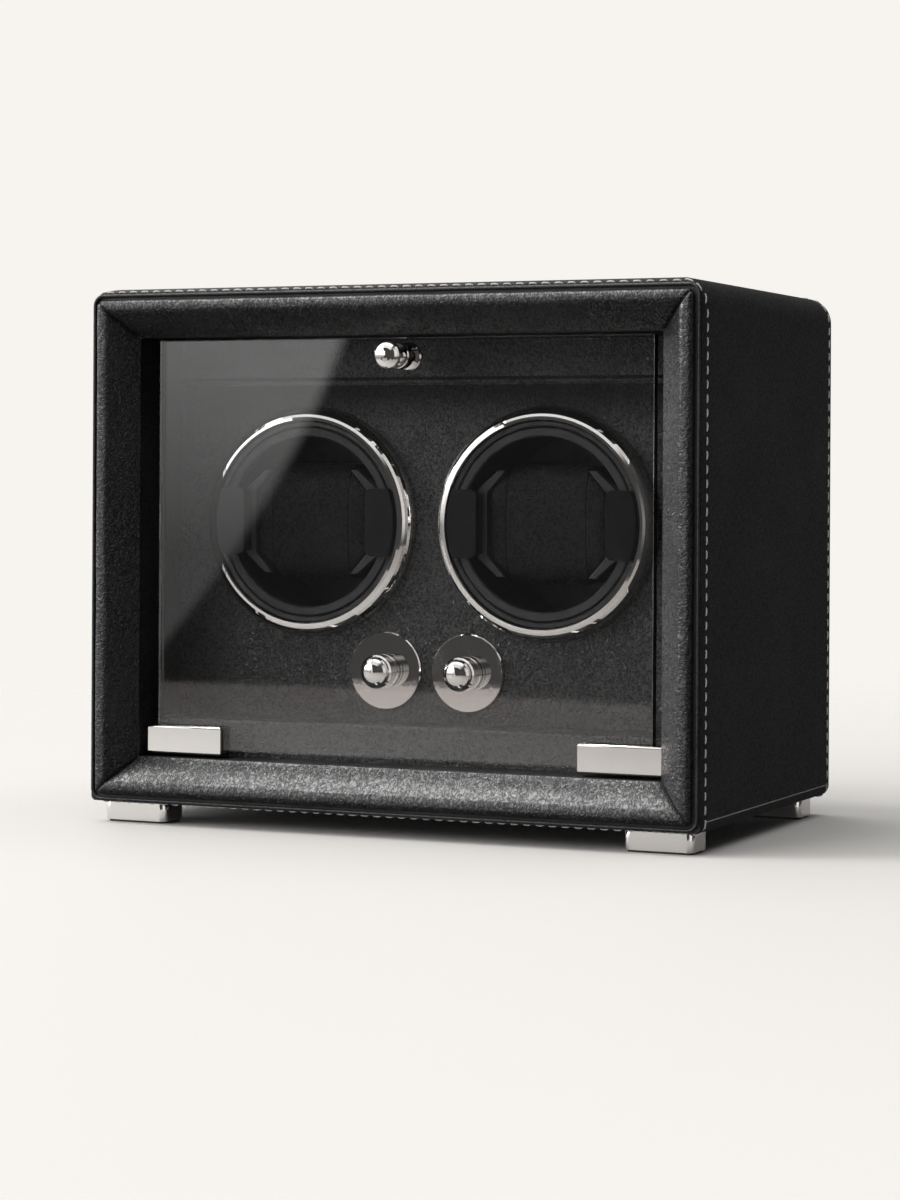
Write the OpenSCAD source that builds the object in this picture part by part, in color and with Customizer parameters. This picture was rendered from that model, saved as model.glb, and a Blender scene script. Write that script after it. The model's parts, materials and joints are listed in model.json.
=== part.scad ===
// Watch winder box for two watches: a leather-covered case with a padded front frame,
// a drop-front glass door on pivot clips, two motor-driven turntables with pull-out watch
// holders, and two rotary selector knobs.
// Axes: +X to the right, +Y to the back, +Z up. The origin lies under the middle of the box.
// Depths are counted from the seam round the front of the case, positive towards the back.

/* [Case] */
// Width over the leather
case_w = 254; // [250:1:275]
// Room behind the gearmotors, to the back edge of the case
back_room = 22.5; // [20:0.5:45]
// Radius of the two long top edges
top_edge_r = 10.4; // [6:0.2:12]
// Radius of the two long bottom edges
bottom_edge_r = 4.4; // [3:0.2:6]
// Thickness of the leather covering
leather_t = 1.2; // [0.8:0.1:1.6]
// Thickness of the wooden walls
wall_t = 12; // [10:0.5:13]
// How far the front shoulder draws in at the sides and underneath
shoulder_in = 1; // [0.6:0.1:2]
// How far the front shoulder draws in at the top
top_shoulder_in = 2.2; // [1:0.1:3]
// Depth over which the front shoulder draws in
shoulder_d = 10; // [7:0.5:14]

/* [Front frame] */
// Width of the frame, from the front edge of the case to the opening
frame_w = 17; // [16.5:0.1:19]
// Height of the padded crest in front of the seam
crest_h = 2; // [1:0.1:4]
// Depth of the frame's inner edge behind the seam
frame_back = 8.3; // [7:0.1:10]
// Angle of the inner bevel
bevel_angle = 46; // [42:1:50]
// Radius of the outer roll
roll_r = 2.6; // [2:0.1:2.8]
// Radius between the crest and the bevel
bend_r = 4; // [3:0.1:4.5]
// Thickness of the padding and its leather
pad_t = 1.8; // [1.2:0.1:1.9]
// Radius of the piping bead
bead_r = 0.65; // [0.5:0.05:0.7]
// Radius of the frame's outer corners
front_corner_r = 4.5; // [3:0.1:5]
// Gap in each mitre of the padded frame
mitre_gap = 0.2; // [0.1:0.05:0.4]

/* [Recess] */
// Depth of the leather panel that holds the winders
panel_d = 43.3; // [42:0.1:46]
// Thickness of that panel
panel_t = 4; // [3.5:0.1:6]
// Height of the header strip above the inner panel
header_h = 16.9; // [12:0.1:18]
// Thickness of the header strip
header_t = 1.5; // [1:0.1:2.5]
// Height of the sill above the recess floor
sill_h = 14.8; // [12:0.1:16]
// Depth of the sill's front face
sill_front = 24; // [23:0.1:28]

/* [Door] */
// Thickness of the glass
glass_t = 4; // [3.6:0.1:4.2]
// Depth of the glass front face
glass_front = 13.7; // [13.6:0.1:14.2]
// Gap beside the glass
glass_side_gap = 5.5; // [5:0.1:7]
// Gap above the glass
glass_top_gap = 0.9; // [0.7:0.1:2]
// Width of a hinge clip
clip_w = 33; // [24:0.5:40]
// Height of a hinge clip
clip_h = 11.3; // [10:0.1:12]
// Depth of a hinge clip
clip_d = 9; // [8:0.1:9.2]
// Depth of the clips' front face
clip_front = 12; // [11.9:0.1:12.4]
// Gap between a clip and the side of the opening
clip_side_gap = 1.3; // [1.2:0.1:2]
// Height of the clips' underside above the recess floor
clip_rise = 1.1; // [1:0.1:2]
// Radius of the hinge pins
hinge_pin_r = 2; // [1.5:0.1:2.4]
// Rubber between the glass and the clips
gasket_t = 0.5; // [0.3:0.1:0.6]
// Distance of the door knob below the top of the opening
knob_drop = 7.8; // [7:0.1:12]
// Radius of the door knob's head
door_knob_r = 5.25; // [4.5:0.05:6]
// Reach of the door knob in front of the glass
door_knob_reach = 11.7; // [10:0.1:13]
// Reach of the knob's back half behind the glass
knob_back_reach = 7.8; // [6:0.1:9]

/* [Winders] */
// Distance between the two turntable axes
winder_pitch = 100.2; // [98:0.1:104]
// Gap between the bezels and the header strip
bezel_top_gap = 9; // [4:0.5:24]
// Outer radius of the chrome bezel
bezel_r = 45.4; // [44.8:0.1:46.5]
// Radius of the bezel's front edge
bezel_lip_r = 40.1; // [40:0.1:41]
// Height of the bezel on the panel
bezel_h = 7; // [6:0.1:7.2]
// Inner radius of the fixed housing
housing_bore_r = 37.4; // [37.3:0.1:38]
// Wall thickness of the fixed housing
housing_wall = 2.1; // [1.8:0.1:2.2]
// Depth of the housing's front edge and of the cup's rim
rim_d = 38; // [37.8:0.1:39]
// Room behind the watch holder's crossbar in the cup
cup_room = 5.7; // [4:0.1:12]
// Outer radius of the turning cup
cup_r = 36.9; // [36.5:0.1:37]
// Wall thickness of the cup
cup_wall = 2; // [1.5:0.1:2.6]
// Inner radius of the cup's rim ring
rim_bore_r = 33.5; // [33.4:0.1:34.2]

/* [Watch holder] */
// Width of the cushion
cushion_w = 48.6; // [44:0.2:50]
// Height of the cushion
cushion_h = 46; // [42:0.5:48]
// Depth of the cushion, front to back
cushion_d = 29.5; // [28:0.5:30.5]
// Corner radius of the cushion
cushion_r = 10; // [6:0.5:13]
// Width of the grips
grip_w = 12.2; // [11:0.1:12.5]
// Height of the grips
grip_h = 26.3; // [22:0.1:28]
// Thickness of the grips' front pads
grip_t = 2.1; // [1.6:0.1:2.4]
// Length of the grips' stems, from the pads to the holder's arms
grip_stem_l = 4.4; // [3.9:0.1:5.4]
// Side of the square post that the holder plugs on
post_side = 12; // [10:0.2:12.6]
// Travel of the holder behind the closed door
holder_travel = 15; // [8:0.5:15]

/* [Gear drive] */
// Gear module
gear_module = 0.8; // [0.7:0.02:0.82]
// Teeth of the turntable gear
gear_teeth = 72; // [60:4:72]
// Teeth of the motor pinion
pinion_teeth = 12; // [12:4:16]
// Width of the gears
gear_t = 5; // [4:0.5:6]
// Backlash in the mesh
backlash = 0.2; // [0.14:0.02:0.3]
// Radius of the turntable spindle
spindle_r = 3; // [2.5:0.1:3.4]
// Radius of the gearmotor's gearbox
motor_r = 12.5; // [11.9:0.1:13]

/* [Selector knobs] */
// Distance between the two selector knobs
selector_pitch = 35; // [34:0.5:40]
// Distance of the selector knobs below the turntable axes
selector_drop = 57.8; // [56.5:0.1:70]
// Gap between the sill and the chrome plates
plate_gap = 4.6; // [3:0.1:10]
// Radius of the chrome plates
plate_r = 15.2; // [12:0.1:15.6]
// Thickness of the chrome plates
plate_t = 1.2; // [0.8:0.1:1.5]
// Radius of the selector knobs
selector_r = 6.5; // [6.3:0.1:8]
// Length of the selector knobs
selector_l = 10.8; // [9:0.1:11.4]

/* [Feet] */
// Height of the feet with their pads
foot_h = 7.7; // [6:0.1:12]
// Width of a foot
foot_w = 27; // [20:0.5:32]
// Depth of a foot
foot_l = 15.5; // [14:0.5:20]
// Thickness of the pads under the feet
foot_pad_t = 0.8; // [0.5:0.1:1.2]
// Distance of the feet from the sides
foot_side = 4.6; // [4:0.2:8]
// Distance of the front feet from the front seam
foot_front = 5.5; // [4:0.5:12]
// Distance of the back feet from the back edge
foot_rear = 8; // [6:0.5:14]

/* [Back] */
// Thickness of the back panel
back_t = 4; // [3:0.1:5]
// Distance of the back panel behind the case's back edge
back_inset = 2; // [1.5:0.1:3]
// Width of the rebate that the back panel sits in
rebate_w = 7; // [6.5:0.1:7.5]
// Height of the power jack above the case's underside
jack_rise = 34; // [30:0.5:45]

/* [Clearances] */
// Gap between pieces that are glued or pushed together
seat_gap = 0.3; // [0.2:0.05:0.4]
// Radial gap of a shaft in its bearing
run_gap = 0.05; // [0.03:0.01:0.08]
// Gap of a glued face
glue_gap = 0.02; // [0.01:0.01:0.05]

/* [Hidden] */
$fn = 72;
LEFT = -1;
RIGHT = 1;
SIDES = [LEFT, RIGHT];

// Depths of the winders and their drive, which set the depth of the case
grip_front = rim_d - 0.4 - grip_t;
arm_d = grip_front + grip_t + grip_stem_l;
arm_t = 4;
cushion_front = arm_d + 0.5;
cushion_rear = cushion_front + cushion_d;
bar_d = cushion_rear + seat_gap;
bar_t = 4;
cup_floor = bar_d + bar_t + cup_room;
cup_floor_t = 2.5;
cup_rear = cup_floor + cup_floor_t;
boss_l = 2;
end_play = 0.5;
bearing_d = cup_rear + boss_l + end_play;
housing_hub_l = 3;
housing_floor_d = bearing_d + housing_hub_l;
housing_wall_t = 3;
housing_rear = housing_floor_d + housing_wall_t;
gear_hub_l = 1;
gear_d = housing_rear + end_play + gear_hub_l;
gear_rear = gear_d + gear_t;
chassis_bush_flange = 1;
chassis_d = gear_rear + end_play + chassis_bush_flange;
chassis_t = 2;
chassis_rear = chassis_d + chassis_t;
gearbox_l = 12;
motor_can_l = 16;
motor_tail_l = 2;
motor_rear = chassis_rear + gearbox_l + motor_can_l + motor_tail_l;
case_d = motor_rear + back_room;

// Heights in the opening, which set the height of the case
case_bottom = foot_h;
front_bottom = case_bottom + shoulder_in;
open_bottom = front_bottom + frame_w;
sill_top = open_bottom + sill_h;
selector_z = sill_top + plate_gap + plate_r;
winder_z = selector_z + selector_drop;
header_bottom = winder_z + bezel_r + bezel_top_gap;
header_top = header_bottom + header_h;
open_top = header_top + seat_gap;
front_top = open_top + frame_w;
case_top = front_top + top_shoulder_in;
case_h = case_top - case_bottom;

// Case faces and the opening in its front
welt_y = crest_h - (case_d + crest_h) / 2;
case_x = case_w / 2;
front_x = case_x - shoulder_in;
open_x = front_x - frame_w;
inner_x = case_x - leather_t - wall_t;
inner_bottom = case_bottom + leather_t + wall_t;
inner_top = case_top - leather_t - wall_t;
welt_seat = 1.5;
carcass_front = 6.5;
carcass_back = case_d - leather_t;
shoulder_steps = 6;

// Padded rails, drawn from their outer edge inwards
bead_gap = 0.85;
rail_inset = 2 * bead_r + bead_gap;
rail_w = frame_w - rail_inset;
core_outset = 4;
rail_x = front_x - rail_inset;
rail_bottom = front_bottom + rail_inset;
rail_top = front_top - rail_inset;
bend_end_d = bend_r * (1 - cos(bevel_angle)) - crest_h;
bend_end_u = rail_w - (frame_back - bend_end_d) / tan(bevel_angle);
bend_u = bend_end_u - bend_r * sin(bevel_angle);

// Recess and panels
liner_x = inner_x - seat_gap;
liner_bottom = inner_bottom + seat_gap;
liner_top = inner_top - seat_gap;
panel_back = panel_d + panel_t;
trim_x = open_x - seat_gap;
cleat_w = 8;
cleat_d = 12;
back_seat = case_d - back_inset - back_t;
rebate_x = inner_x + rebate_w;
rebate_bottom = inner_bottom - rebate_w;
rebate_top = inner_top + rebate_w;
back_x = rebate_x - seat_gap;
back_bottom = rebate_bottom + seat_gap;
back_top = rebate_top - seat_gap;

// Screws
wood_screw_r = 1.5;
wood_head_r = 2.9;
wood_head_h = 1.6;
back_screw_l = 12;
panel_screw_l = 14;
flange_screw_l = 5;
machine_screw_r = 1.4;
machine_head_r = 2.6;
machine_head_h = 1.7;
foot_screw_r = 1.9;
foot_head_r = 3.6;
foot_head_h = 2.2;
foot_counterbore = 3;
screw_gap = 0.1;

// Door
glass_x = open_x - glass_side_gap;
glass_back = glass_front + glass_t;
clip_back = clip_front + clip_d;
clip_out_x = open_x - clip_side_gap;
clip_in_x = clip_out_x - clip_w;
clip_bottom = open_bottom + clip_rise;
clip_top = clip_bottom + clip_h;
clip_floor = 1.5;
glass_bottom = clip_bottom + clip_floor + gasket_t;
glass_top = open_top - glass_top_gap;
hinge_d = glass_front + glass_t / 2;
hinge_z = clip_bottom + clip_h / 2;
clip_front_r = 1;
clip_rear_r = 3;
bush_flange_t = 0.7;
bush_r = hinge_pin_r + 1.3;
bush_flange_r = hinge_pin_r + 2.2;
door_knob_z = open_top - knob_drop;
stud_r = 2;
glass_hole_r = stud_r + 0.5;

// Turntables and their housings
winder_x = winder_pitch / 2;
housing_r = housing_bore_r + housing_wall;
bezel_bore_r = housing_r + seat_gap;
panel_bore_r = housing_r + seat_gap;
flange_r = bezel_r + 1;
flange_t = 3;
flange_screw_r = (housing_r + flange_r) / 2 + 0.3;
bearing_r = spindle_r + 3;
rim_t = 3;
cup_front = rim_d + rim_t;
cup_boss_r = 9;

// Gear drive
gear_pitch_r = gear_module * gear_teeth / 2;
pinion_pitch_r = gear_module * pinion_teeth / 2;
gear_outer_r = gear_pitch_r + gear_module;
pinion_z = winder_z - gear_pitch_r - pinion_pitch_r;
pressure_angle = 20;
pillar_r = 3.2;
pillar_offset = (housing_r + gear_outer_r + 2) / 2 * sin(45);
motor_shaft_r = 1.5;
motor_boss_r = 3.5;
motor_boss_l = 1.7;
motor_can_r = 10;
motor_tail_r = 4;
motor_screw_x = 9.3;

// Holder
post_front = cup_floor - holder_travel - 5;
arm_in_x = cushion_w / 2 + seat_gap;
cheek_t = 4;
cheek_x = arm_in_x + cheek_t;
cheek_h = 24;
arm_tip_x = arm_in_x - 7.5;
arm_tip_z = 20.5;
corner_gap = 0.75 * seat_gap;
core_side = post_side + 6.6;
core_front = post_front - 4;
core_rear = cup_floor - seat_gap;
grip_in_x = cheek_x - 2.1;
grip_limit_r = bezel_lip_r - 1.4;
grip_stem_r = rim_bore_r - 0.4;

// Selector switches
selector_x = selector_pitch / 2;
plate_d = panel_d - plate_t;
selector_back = plate_d - 0.4;
selector_front = selector_back - selector_l;
switch_shaft_r = 2.5;
switch_bush_r = 3.4;
switch_nut_r = 5;
switch_nut_t = 1.4;
switch_side = 16;
switch_l = 10;
switch_back = panel_back + switch_l;

// Power and control
board_t = 1.6;
board_d = back_seat - 9.5;
board_x = winder_x + 9;
board_screw_inset = 5;
board_bottom = case_bottom + 24;
board_top = pinion_z + 8;
standoff_r = 3;
jack_z = case_bottom + jack_rise;
jack_r = 4;
jack_bore_r = 2.75;
jack_pin_r = 1.05;
jack_flange_r = 6.5;
jack_flange_t = 1.5;
jack_tail = board_d + board_t + 1.4;
lead_r = 1.1;

// Feet
foot_block_h = foot_h - foot_pad_t;
foot_x = case_x - foot_side - foot_w / 2;
foot_front_d = foot_front + foot_l / 2;
foot_rear_d = case_d - foot_rear - foot_l / 2;
foot_corner_r = 2.5;
FEET = [for (x = SIDES) for (d = [foot_front_d, foot_rear_d]) [x * foot_x, d]];

// ---- Helpers ----

// Points along an arc, from angle a0 to a1
function arc(cx, cy, r, a0, a1, steps) =
    [for (i = [0:steps]) let (a = a0 + (a1 - a0) * i / steps) [cx + r * cos(a), cy + r * sin(a)]];

function mirrored(points) = [for (i = [len(points) - 1:-1:0]) [-points[i][0], points[i][1]]];

// A front view (x, z) carried from depth d0 to d1
module along_depth(d0, d1) {
    translate([0, welt_y + d1, 0])
        rotate([90, 0, 0])
            linear_extrude(height = d1 - d0)
                children();
}

// A side view (depth, z) carried from x0 to x1
module along_width(x0, x1) {
    translate([x0, welt_y, 0])
        rotate([90, 0, 90])
            linear_extrude(height = x1 - x0)
                children();
}

// A profile (radius, depth) turned about a depthwise axis at x, z
module turned_at(x, z) {
    translate([x, welt_y, z])
        rotate([-90, 0, 0])
            rotate_extrude()
                children();
}

// A cylinder along the depth, from d0 to d1
module rod(x, z, r, d0, d1) {
    translate([x, welt_y + d0, z])
        rotate([-90, 0, 0])
            cylinder(r = r, h = d1 - d0);
}

// A front-view rectangle between two corners
module rect(x0, z0, x1, z1) {
    translate([x0, z0])
        square([x1 - x0, z1 - z0]);
}

// A rectangle with its own radius for the lower and the upper corners
module rounded_rect(x0, z0, x1, z1, lower_r, upper_r) {
    rect(x0, z0 + lower_r, x1, z1 - upper_r);
    rect(x0 + lower_r, z0, x1 - lower_r, z0 + lower_r);
    rect(x0 + upper_r, z1 - upper_r, x1 - upper_r, z1);
    for (x = [x0 + lower_r, x1 - lower_r])
        translate([x, z0 + lower_r])
            circle(r = lower_r);
    for (x = [x0 + upper_r, x1 - upper_r])
        translate([x, z1 - upper_r])
            circle(r = upper_r);
}

// ---- Case ----

// Half width of the case along its depth, with the front shoulder, drawn in by inset
function shoulder_side(half, draw_in, inset) =
    let (shoulder_r = (shoulder_d * shoulder_d + draw_in * draw_in) / (2 * draw_in),
         r = shoulder_r - inset, last = asin(min(1, shoulder_d / r)))
    arc(half - shoulder_r, shoulder_d, r, 0, -last, shoulder_steps);

// The case as a solid block, drawn in by inset on its four long faces
module case_block(inset, d0, d1) {
    plan_side = shoulder_side(case_x, shoulder_in, inset);
    upper_side = shoulder_side(case_h / 2, top_shoulder_in, inset);
    lower_side = shoulder_side(case_h / 2, shoulder_in, inset);
    mid_z = case_bottom + case_h / 2;
    intersection() {
        along_depth(d0, d1)
            rounded_rect(-case_x + inset, case_bottom + inset, case_x - inset, case_top - inset,
                         bottom_edge_r - inset, top_edge_r - inset);
        translate([0, welt_y, case_bottom])
            linear_extrude(height = case_h)
                polygon(concat([[case_x - inset, case_d]], plan_side,
                               mirrored(plan_side), [[-case_x + inset, case_d]]));
        translate([-case_x, welt_y, mid_z])
            rotate([90, 0, 90])
                linear_extrude(height = case_w)
                    polygon([for (p = concat([[case_h / 2 - inset, case_d]], upper_side, mirrored(lower_side),
                                             [[-case_h / 2 + inset, case_d]])) [p[1], p[0]]]);
    }
}

module back_screw_places() {
    edge = rebate_w / 2;
    for (x = [-1, 0, 1])
        for (z = [back_bottom + edge, back_top - edge])
            translate([x * (foot_x - foot_w / 2 - 1), z])
                children();
    for (x = SIDES)
        translate([x * (back_x - edge), (back_bottom + back_top) / 2])
            children();
}

module panel_screw_places() {
    for (x = SIDES)
        for (z = [inner_bottom + 22, inner_top - 22])
            translate([x * (liner_x - cleat_w / 2), z])
                children();
}

module flange_screw_places() {
    for (side = SIDES)
        for (a = [45:90:315])
            translate([side * winder_x + flange_screw_r * cos(a), winder_z + flange_screw_r * sin(a)])
                children();
}

module carcass() {
    color("tan")
        difference() {
            case_block(leather_t + glue_gap, carcass_front, carcass_back);
            along_depth(-10, case_d + 10)
                rect(-inner_x, inner_bottom, inner_x, inner_top);
            along_depth(back_seat, case_d + 10)
                rect(-rebate_x, rebate_bottom, rebate_x, rebate_top);
            along_depth(back_seat - back_screw_l, case_d)
                back_screw_places()
                    circle(r = wood_screw_r + screw_gap);
            for (foot = FEET)
                translate([foot[0], welt_y + foot[1], 0]) {
                    cylinder(r = foot_screw_r + screw_gap, h = inner_bottom + 1);
                    translate([0, 0, inner_bottom - foot_counterbore])
                        cylinder(r = foot_head_r + screw_gap, h = foot_counterbore + 1);
                }
        }
}

module leather_wrap() {
    color("#1c1c1e")
        difference() {
            case_block(0, welt_seat, case_d);
            case_block(leather_t, welt_seat - 1, carcass_back);
            along_depth(carcass_back - 1, case_d + 1)
                rect(-rebate_x, rebate_bottom, rebate_x, rebate_top);
            for (foot = FEET)
                translate([foot[0], welt_y + foot[1], 0])
                    cylinder(r = foot_screw_r + screw_gap, h = inner_bottom);
        }
}

module front_welt() {
    line_x = front_x - bead_r;
    line_bottom = front_bottom + bead_r;
    line_top = front_top - bead_r;
    bend = front_corner_r - bead_r;
    bead_d = welt_seat - bead_r;
    color("#2a2a2c")
        translate([0, welt_y + bead_d, 0]) {
            for (x = SIDES)
                translate([x * line_x, 0, line_bottom + bend])
                    cylinder(r = bead_r, h = line_top - line_bottom - 2 * bend);
            for (z = [line_bottom, line_top])
                translate([-line_x + bend, 0, z])
                    rotate([0, 90, 0])
                        cylinder(r = bead_r, h = 2 * (line_x - bend));
            for (corner = [[1, 1, 0], [-1, 1, 90], [-1, -1, 180], [1, -1, 270]])
                translate([corner[0] * (line_x - bend), 0,
                           corner[1] > 0 ? line_top - bend : line_bottom + bend])
                    rotate([90, 0, 0])
                        rotate([0, 0, corner[2]])
                            rotate_extrude(angle = 90)
                                translate([bend, 0])
                                    circle(r = bead_r);
        }
}

// ---- Padded frame ----

// Face of a rail as (distance in from its outer edge, depth), drawn in by inset
function rail_face(inset) = concat(
    arc(roll_r, roll_r - crest_h, roll_r - inset, 180, 270, 5),
    arc(bend_u, bend_r - crest_h, bend_r - inset, 270, 270 + bevel_angle, 5),
    [[rail_w - inset / sin(bevel_angle), frame_back]]);

function reversed(points) = [for (i = [len(points) - 1:-1:0]) points[i]];

// Padding and leather of a rail
function rail_pad() =
    concat([[0, welt_seat]], rail_face(0), reversed(rail_face(pad_t)), [[pad_t, welt_seat]]);

// Wooden moulding under the padding, out to the leather of the case
function rail_core() =
    let (wall_u = rail_x - inner_x + seat_gap)
    concat([[-core_outset, carcass_front], [-core_outset, welt_seat], [pad_t, welt_seat]],
           rail_face(pad_t), [[wall_u, frame_back], [wall_u, carcass_front]]);

// Front view of one side of the frame, mitred at both ends and let out by outset
module mitred(edge, gap, outset) {
    reach = rail_w + 1;
    out_x = rail_x + outset;
    out_bottom = rail_bottom - outset;
    out_top = rail_top + outset;
    if (edge == "top")
        polygon([[-out_x + gap, out_top], [out_x - gap, out_top],
                 [rail_x - reach - gap, rail_top - reach], [-rail_x + reach + gap, rail_top - reach]]);
    if (edge == "bottom")
        polygon([[-out_x + gap, out_bottom], [out_x - gap, out_bottom],
                 [rail_x - reach - gap, rail_bottom + reach], [-rail_x + reach + gap, rail_bottom + reach]]);
    if (edge == "right")
        polygon([[out_x, out_bottom + gap], [out_x, out_top - gap],
                 [rail_x - reach, rail_top - reach - gap], [rail_x - reach, rail_bottom + reach + gap]]);
    if (edge == "left")
        polygon([[-out_x, out_bottom + gap], [-out_x, out_top - gap],
                 [-rail_x + reach, rail_top - reach - gap], [-rail_x + reach, rail_bottom + reach + gap]]);
}

// One side of the frame with the given cross-section
module frame_side(edge, section, gap, outset) {
    intersection() {
        along_depth(-crest_h - 1, frame_back + 1)
            mitred(edge, gap, outset);
        if (edge == "top" || edge == "bottom")
            along_width(-case_x, case_x)
                polygon([for (p = section) [p[1], edge == "top" ? rail_top - p[0] : rail_bottom + p[0]]]);
        else
            translate([0, welt_y, case_bottom])
                linear_extrude(height = case_h)
                    polygon([for (p = section) [edge == "right" ? rail_x - p[0] : p[0] - rail_x, p[1]]]);
    }
}

module padded_rail(edge) {
    corner_r = max(front_corner_r - rail_inset, 0.3);
    color("#232325")
        intersection() {
            frame_side(edge, rail_pad(), mitre_gap / 2, 0);
            along_depth(-crest_h - 1, frame_back + 1)
                rounded_rect(-rail_x, rail_bottom, rail_x, rail_top, corner_r, corner_r);
        }
}

module frame_backer() {
    color("tan")
        for (edge = ["top", "bottom", "left", "right"])
            intersection() {
                frame_side(edge, rail_core(), mitre_gap / 4, core_outset);
                case_block(leather_t + glue_gap, welt_seat - 1, frame_back + 1);
            }
}

// ---- Recess ----

module recess_liner() {
    color("#141415")
        difference() {
            along_depth(frame_back, panel_d)
                difference() {
                    rect(-liner_x, liner_bottom, liner_x, liner_top);
                    rect(-open_x, open_bottom, open_x, open_top);
                }
            translate([-liner_x - 1, welt_y + hinge_d, hinge_z])
                rotate([0, 90, 0])
                    cylinder(r = bush_r + run_gap, h = 2 * liner_x + 2);
        }
}

module inner_panel() {
    color("#1e1e20")
        difference() {
            along_depth(panel_d, panel_back)
                rect(-liner_x, liner_bottom, liner_x, liner_top);
            along_depth(panel_d - 1, panel_back + 1) {
                for (side = SIDES) {
                    translate([side * winder_x, winder_z])
                        circle(r = panel_bore_r);
                    translate([side * selector_x, selector_z])
                        circle(r = switch_bush_r + screw_gap);
                }
            }
            along_depth(panel_back - 2.4, panel_back + 1) {
                panel_screw_places()
                    circle(r = wood_screw_r + screw_gap);
                flange_screw_places()
                    circle(r = wood_screw_r + screw_gap);
            }
        }
}

module header_strip() {
    color("#222224")
        along_depth(panel_d - header_t, panel_d)
            rect(-trim_x, header_bottom, trim_x, header_top);
}

module sill() {
    edge_r = 1.5;
    color("#262628")
        along_width(-trim_x, trim_x)
            union() {
                rect(sill_front, open_bottom, panel_d, sill_top - edge_r);
                rect(sill_front + edge_r, open_bottom, panel_d, sill_top);
                translate([sill_front + edge_r, sill_top - edge_r])
                    circle(r = edge_r);
            }
}

module panel_cleats() {
    color("tan")
        difference() {
            along_depth(panel_back, panel_back + cleat_d)
                for (x = SIDES)
                    translate([x * (liner_x - cleat_w / 2) - cleat_w / 2, liner_bottom])
                        square([cleat_w, liner_top - liner_bottom]);
            along_depth(panel_back - 1, panel_back + cleat_d + 1)
                panel_screw_places()
                    circle(r = wood_screw_r + screw_gap);
            along_depth(panel_back + cleat_d - wood_head_h - 0.2, panel_back + cleat_d + 1)
                panel_screw_places()
                    circle(r = wood_head_r + screw_gap);
        }
}

// ---- Back ----

module back_panel() {
    color("#18181a")
        difference() {
            along_depth(back_seat, back_seat + back_t)
                rect(-back_x, back_bottom, back_x, back_top);
            along_depth(back_seat - 1, case_d) {
                back_screw_places()
                    circle(r = wood_screw_r + screw_gap);
                translate([0, jack_z])
                    circle(r = jack_r + screw_gap);
            }
            along_depth(back_seat + back_t - wood_head_h, case_d)
                back_screw_places()
                    circle(r = wood_head_r + screw_gap);
        }
}

// Flat head screws along the depth, heads facing back at head_d. Its children are the front
// views of the full heads, the slotted heads and the shanks.
module screws_at(head_d, length) {
    along_depth(head_d - wood_head_h, head_d - 0.6)
        children(0);
    along_depth(head_d - 0.6, head_d)
        children(1);
    along_depth(head_d - length, head_d - wood_head_h)
        children(2);
}

module slotted(r) {
    difference() {
        circle(r = r);
        square([0.7, 2 * r + 1], center = true);
    }
}

module wood_screws() {
    color("silver") {
        screws_at(back_seat + back_t, back_screw_l) {
            back_screw_places() circle(r = wood_head_r);
            back_screw_places() slotted(wood_head_r);
            back_screw_places() circle(r = wood_screw_r);
        }
        screws_at(panel_back + cleat_d, panel_screw_l) {
            panel_screw_places() circle(r = wood_head_r);
            panel_screw_places() slotted(wood_head_r);
            panel_screw_places() circle(r = wood_screw_r);
        }
        screws_at(panel_back + flange_t + wood_head_h, flange_screw_l + wood_head_h) {
            flange_screw_places() circle(r = wood_head_r);
            flange_screw_places() slotted(wood_head_r);
            flange_screw_places() circle(r = wood_screw_r);
        }
    }
}

// ---- Feet ----

module foot(x, d) {
    hole_depth = foot_block_h - 1.5;
    color("silver")
        translate([x, welt_y + d, foot_pad_t])
            difference() {
                linear_extrude(height = foot_block_h)
                    rounded_rect(-foot_w / 2, -foot_l / 2, foot_w / 2, foot_l / 2,
                                 foot_corner_r, foot_corner_r);
                translate([0, 0, foot_block_h - hole_depth])
                    cylinder(r = foot_screw_r + screw_gap, h = hole_depth + 1);
            }
}

module foot_pads() {
    pad_inset = 1;
    color("#202020")
        for (foot = FEET)
            translate([foot[0], welt_y + foot[1], 0])
                linear_extrude(height = foot_pad_t)
                    rounded_rect(-foot_w / 2 + pad_inset, -foot_l / 2 + pad_inset,
                                 foot_w / 2 - pad_inset, foot_l / 2 - pad_inset,
                                 foot_corner_r - pad_inset, foot_corner_r - pad_inset);
}

module foot_screws() {
    head_z = inner_bottom - foot_counterbore;
    tip_z = foot_pad_t + 2;
    color("silver")
        for (foot = FEET)
            translate([foot[0], welt_y + foot[1], 0]) {
                translate([0, 0, tip_z])
                    cylinder(r = foot_screw_r, h = head_z - tip_z);
                translate([0, 0, head_z])
                    cylinder(r = foot_head_r, h = foot_head_h);
            }
}

// ---- Door ----

module glass_pane() {
    color("lightblue", 0.3)
        along_depth(glass_front, glass_back)
            difference() {
                rect(-glass_x, glass_bottom, glass_x, glass_top);
                translate([0, door_knob_z])
                    circle(r = glass_hole_r);
            }
}

// Front view of the pocket that holds the glass and its gasket in one clip
module clip_pocket_view(side) {
    pocket_x = glass_x + gasket_t;
    rect(side > 0 ? clip_in_x - 1 : -pocket_x, glass_bottom - gasket_t,
         side > 0 ? pocket_x : -clip_in_x + 1, clip_top + 1);
}

module clip_screw_places(side) {
    for (t = [0.3, 0.7])
        translate([side * (clip_in_x + t * (glass_x - clip_in_x)), clip_top - clip_h * 0.36])
            children();
}

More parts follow.
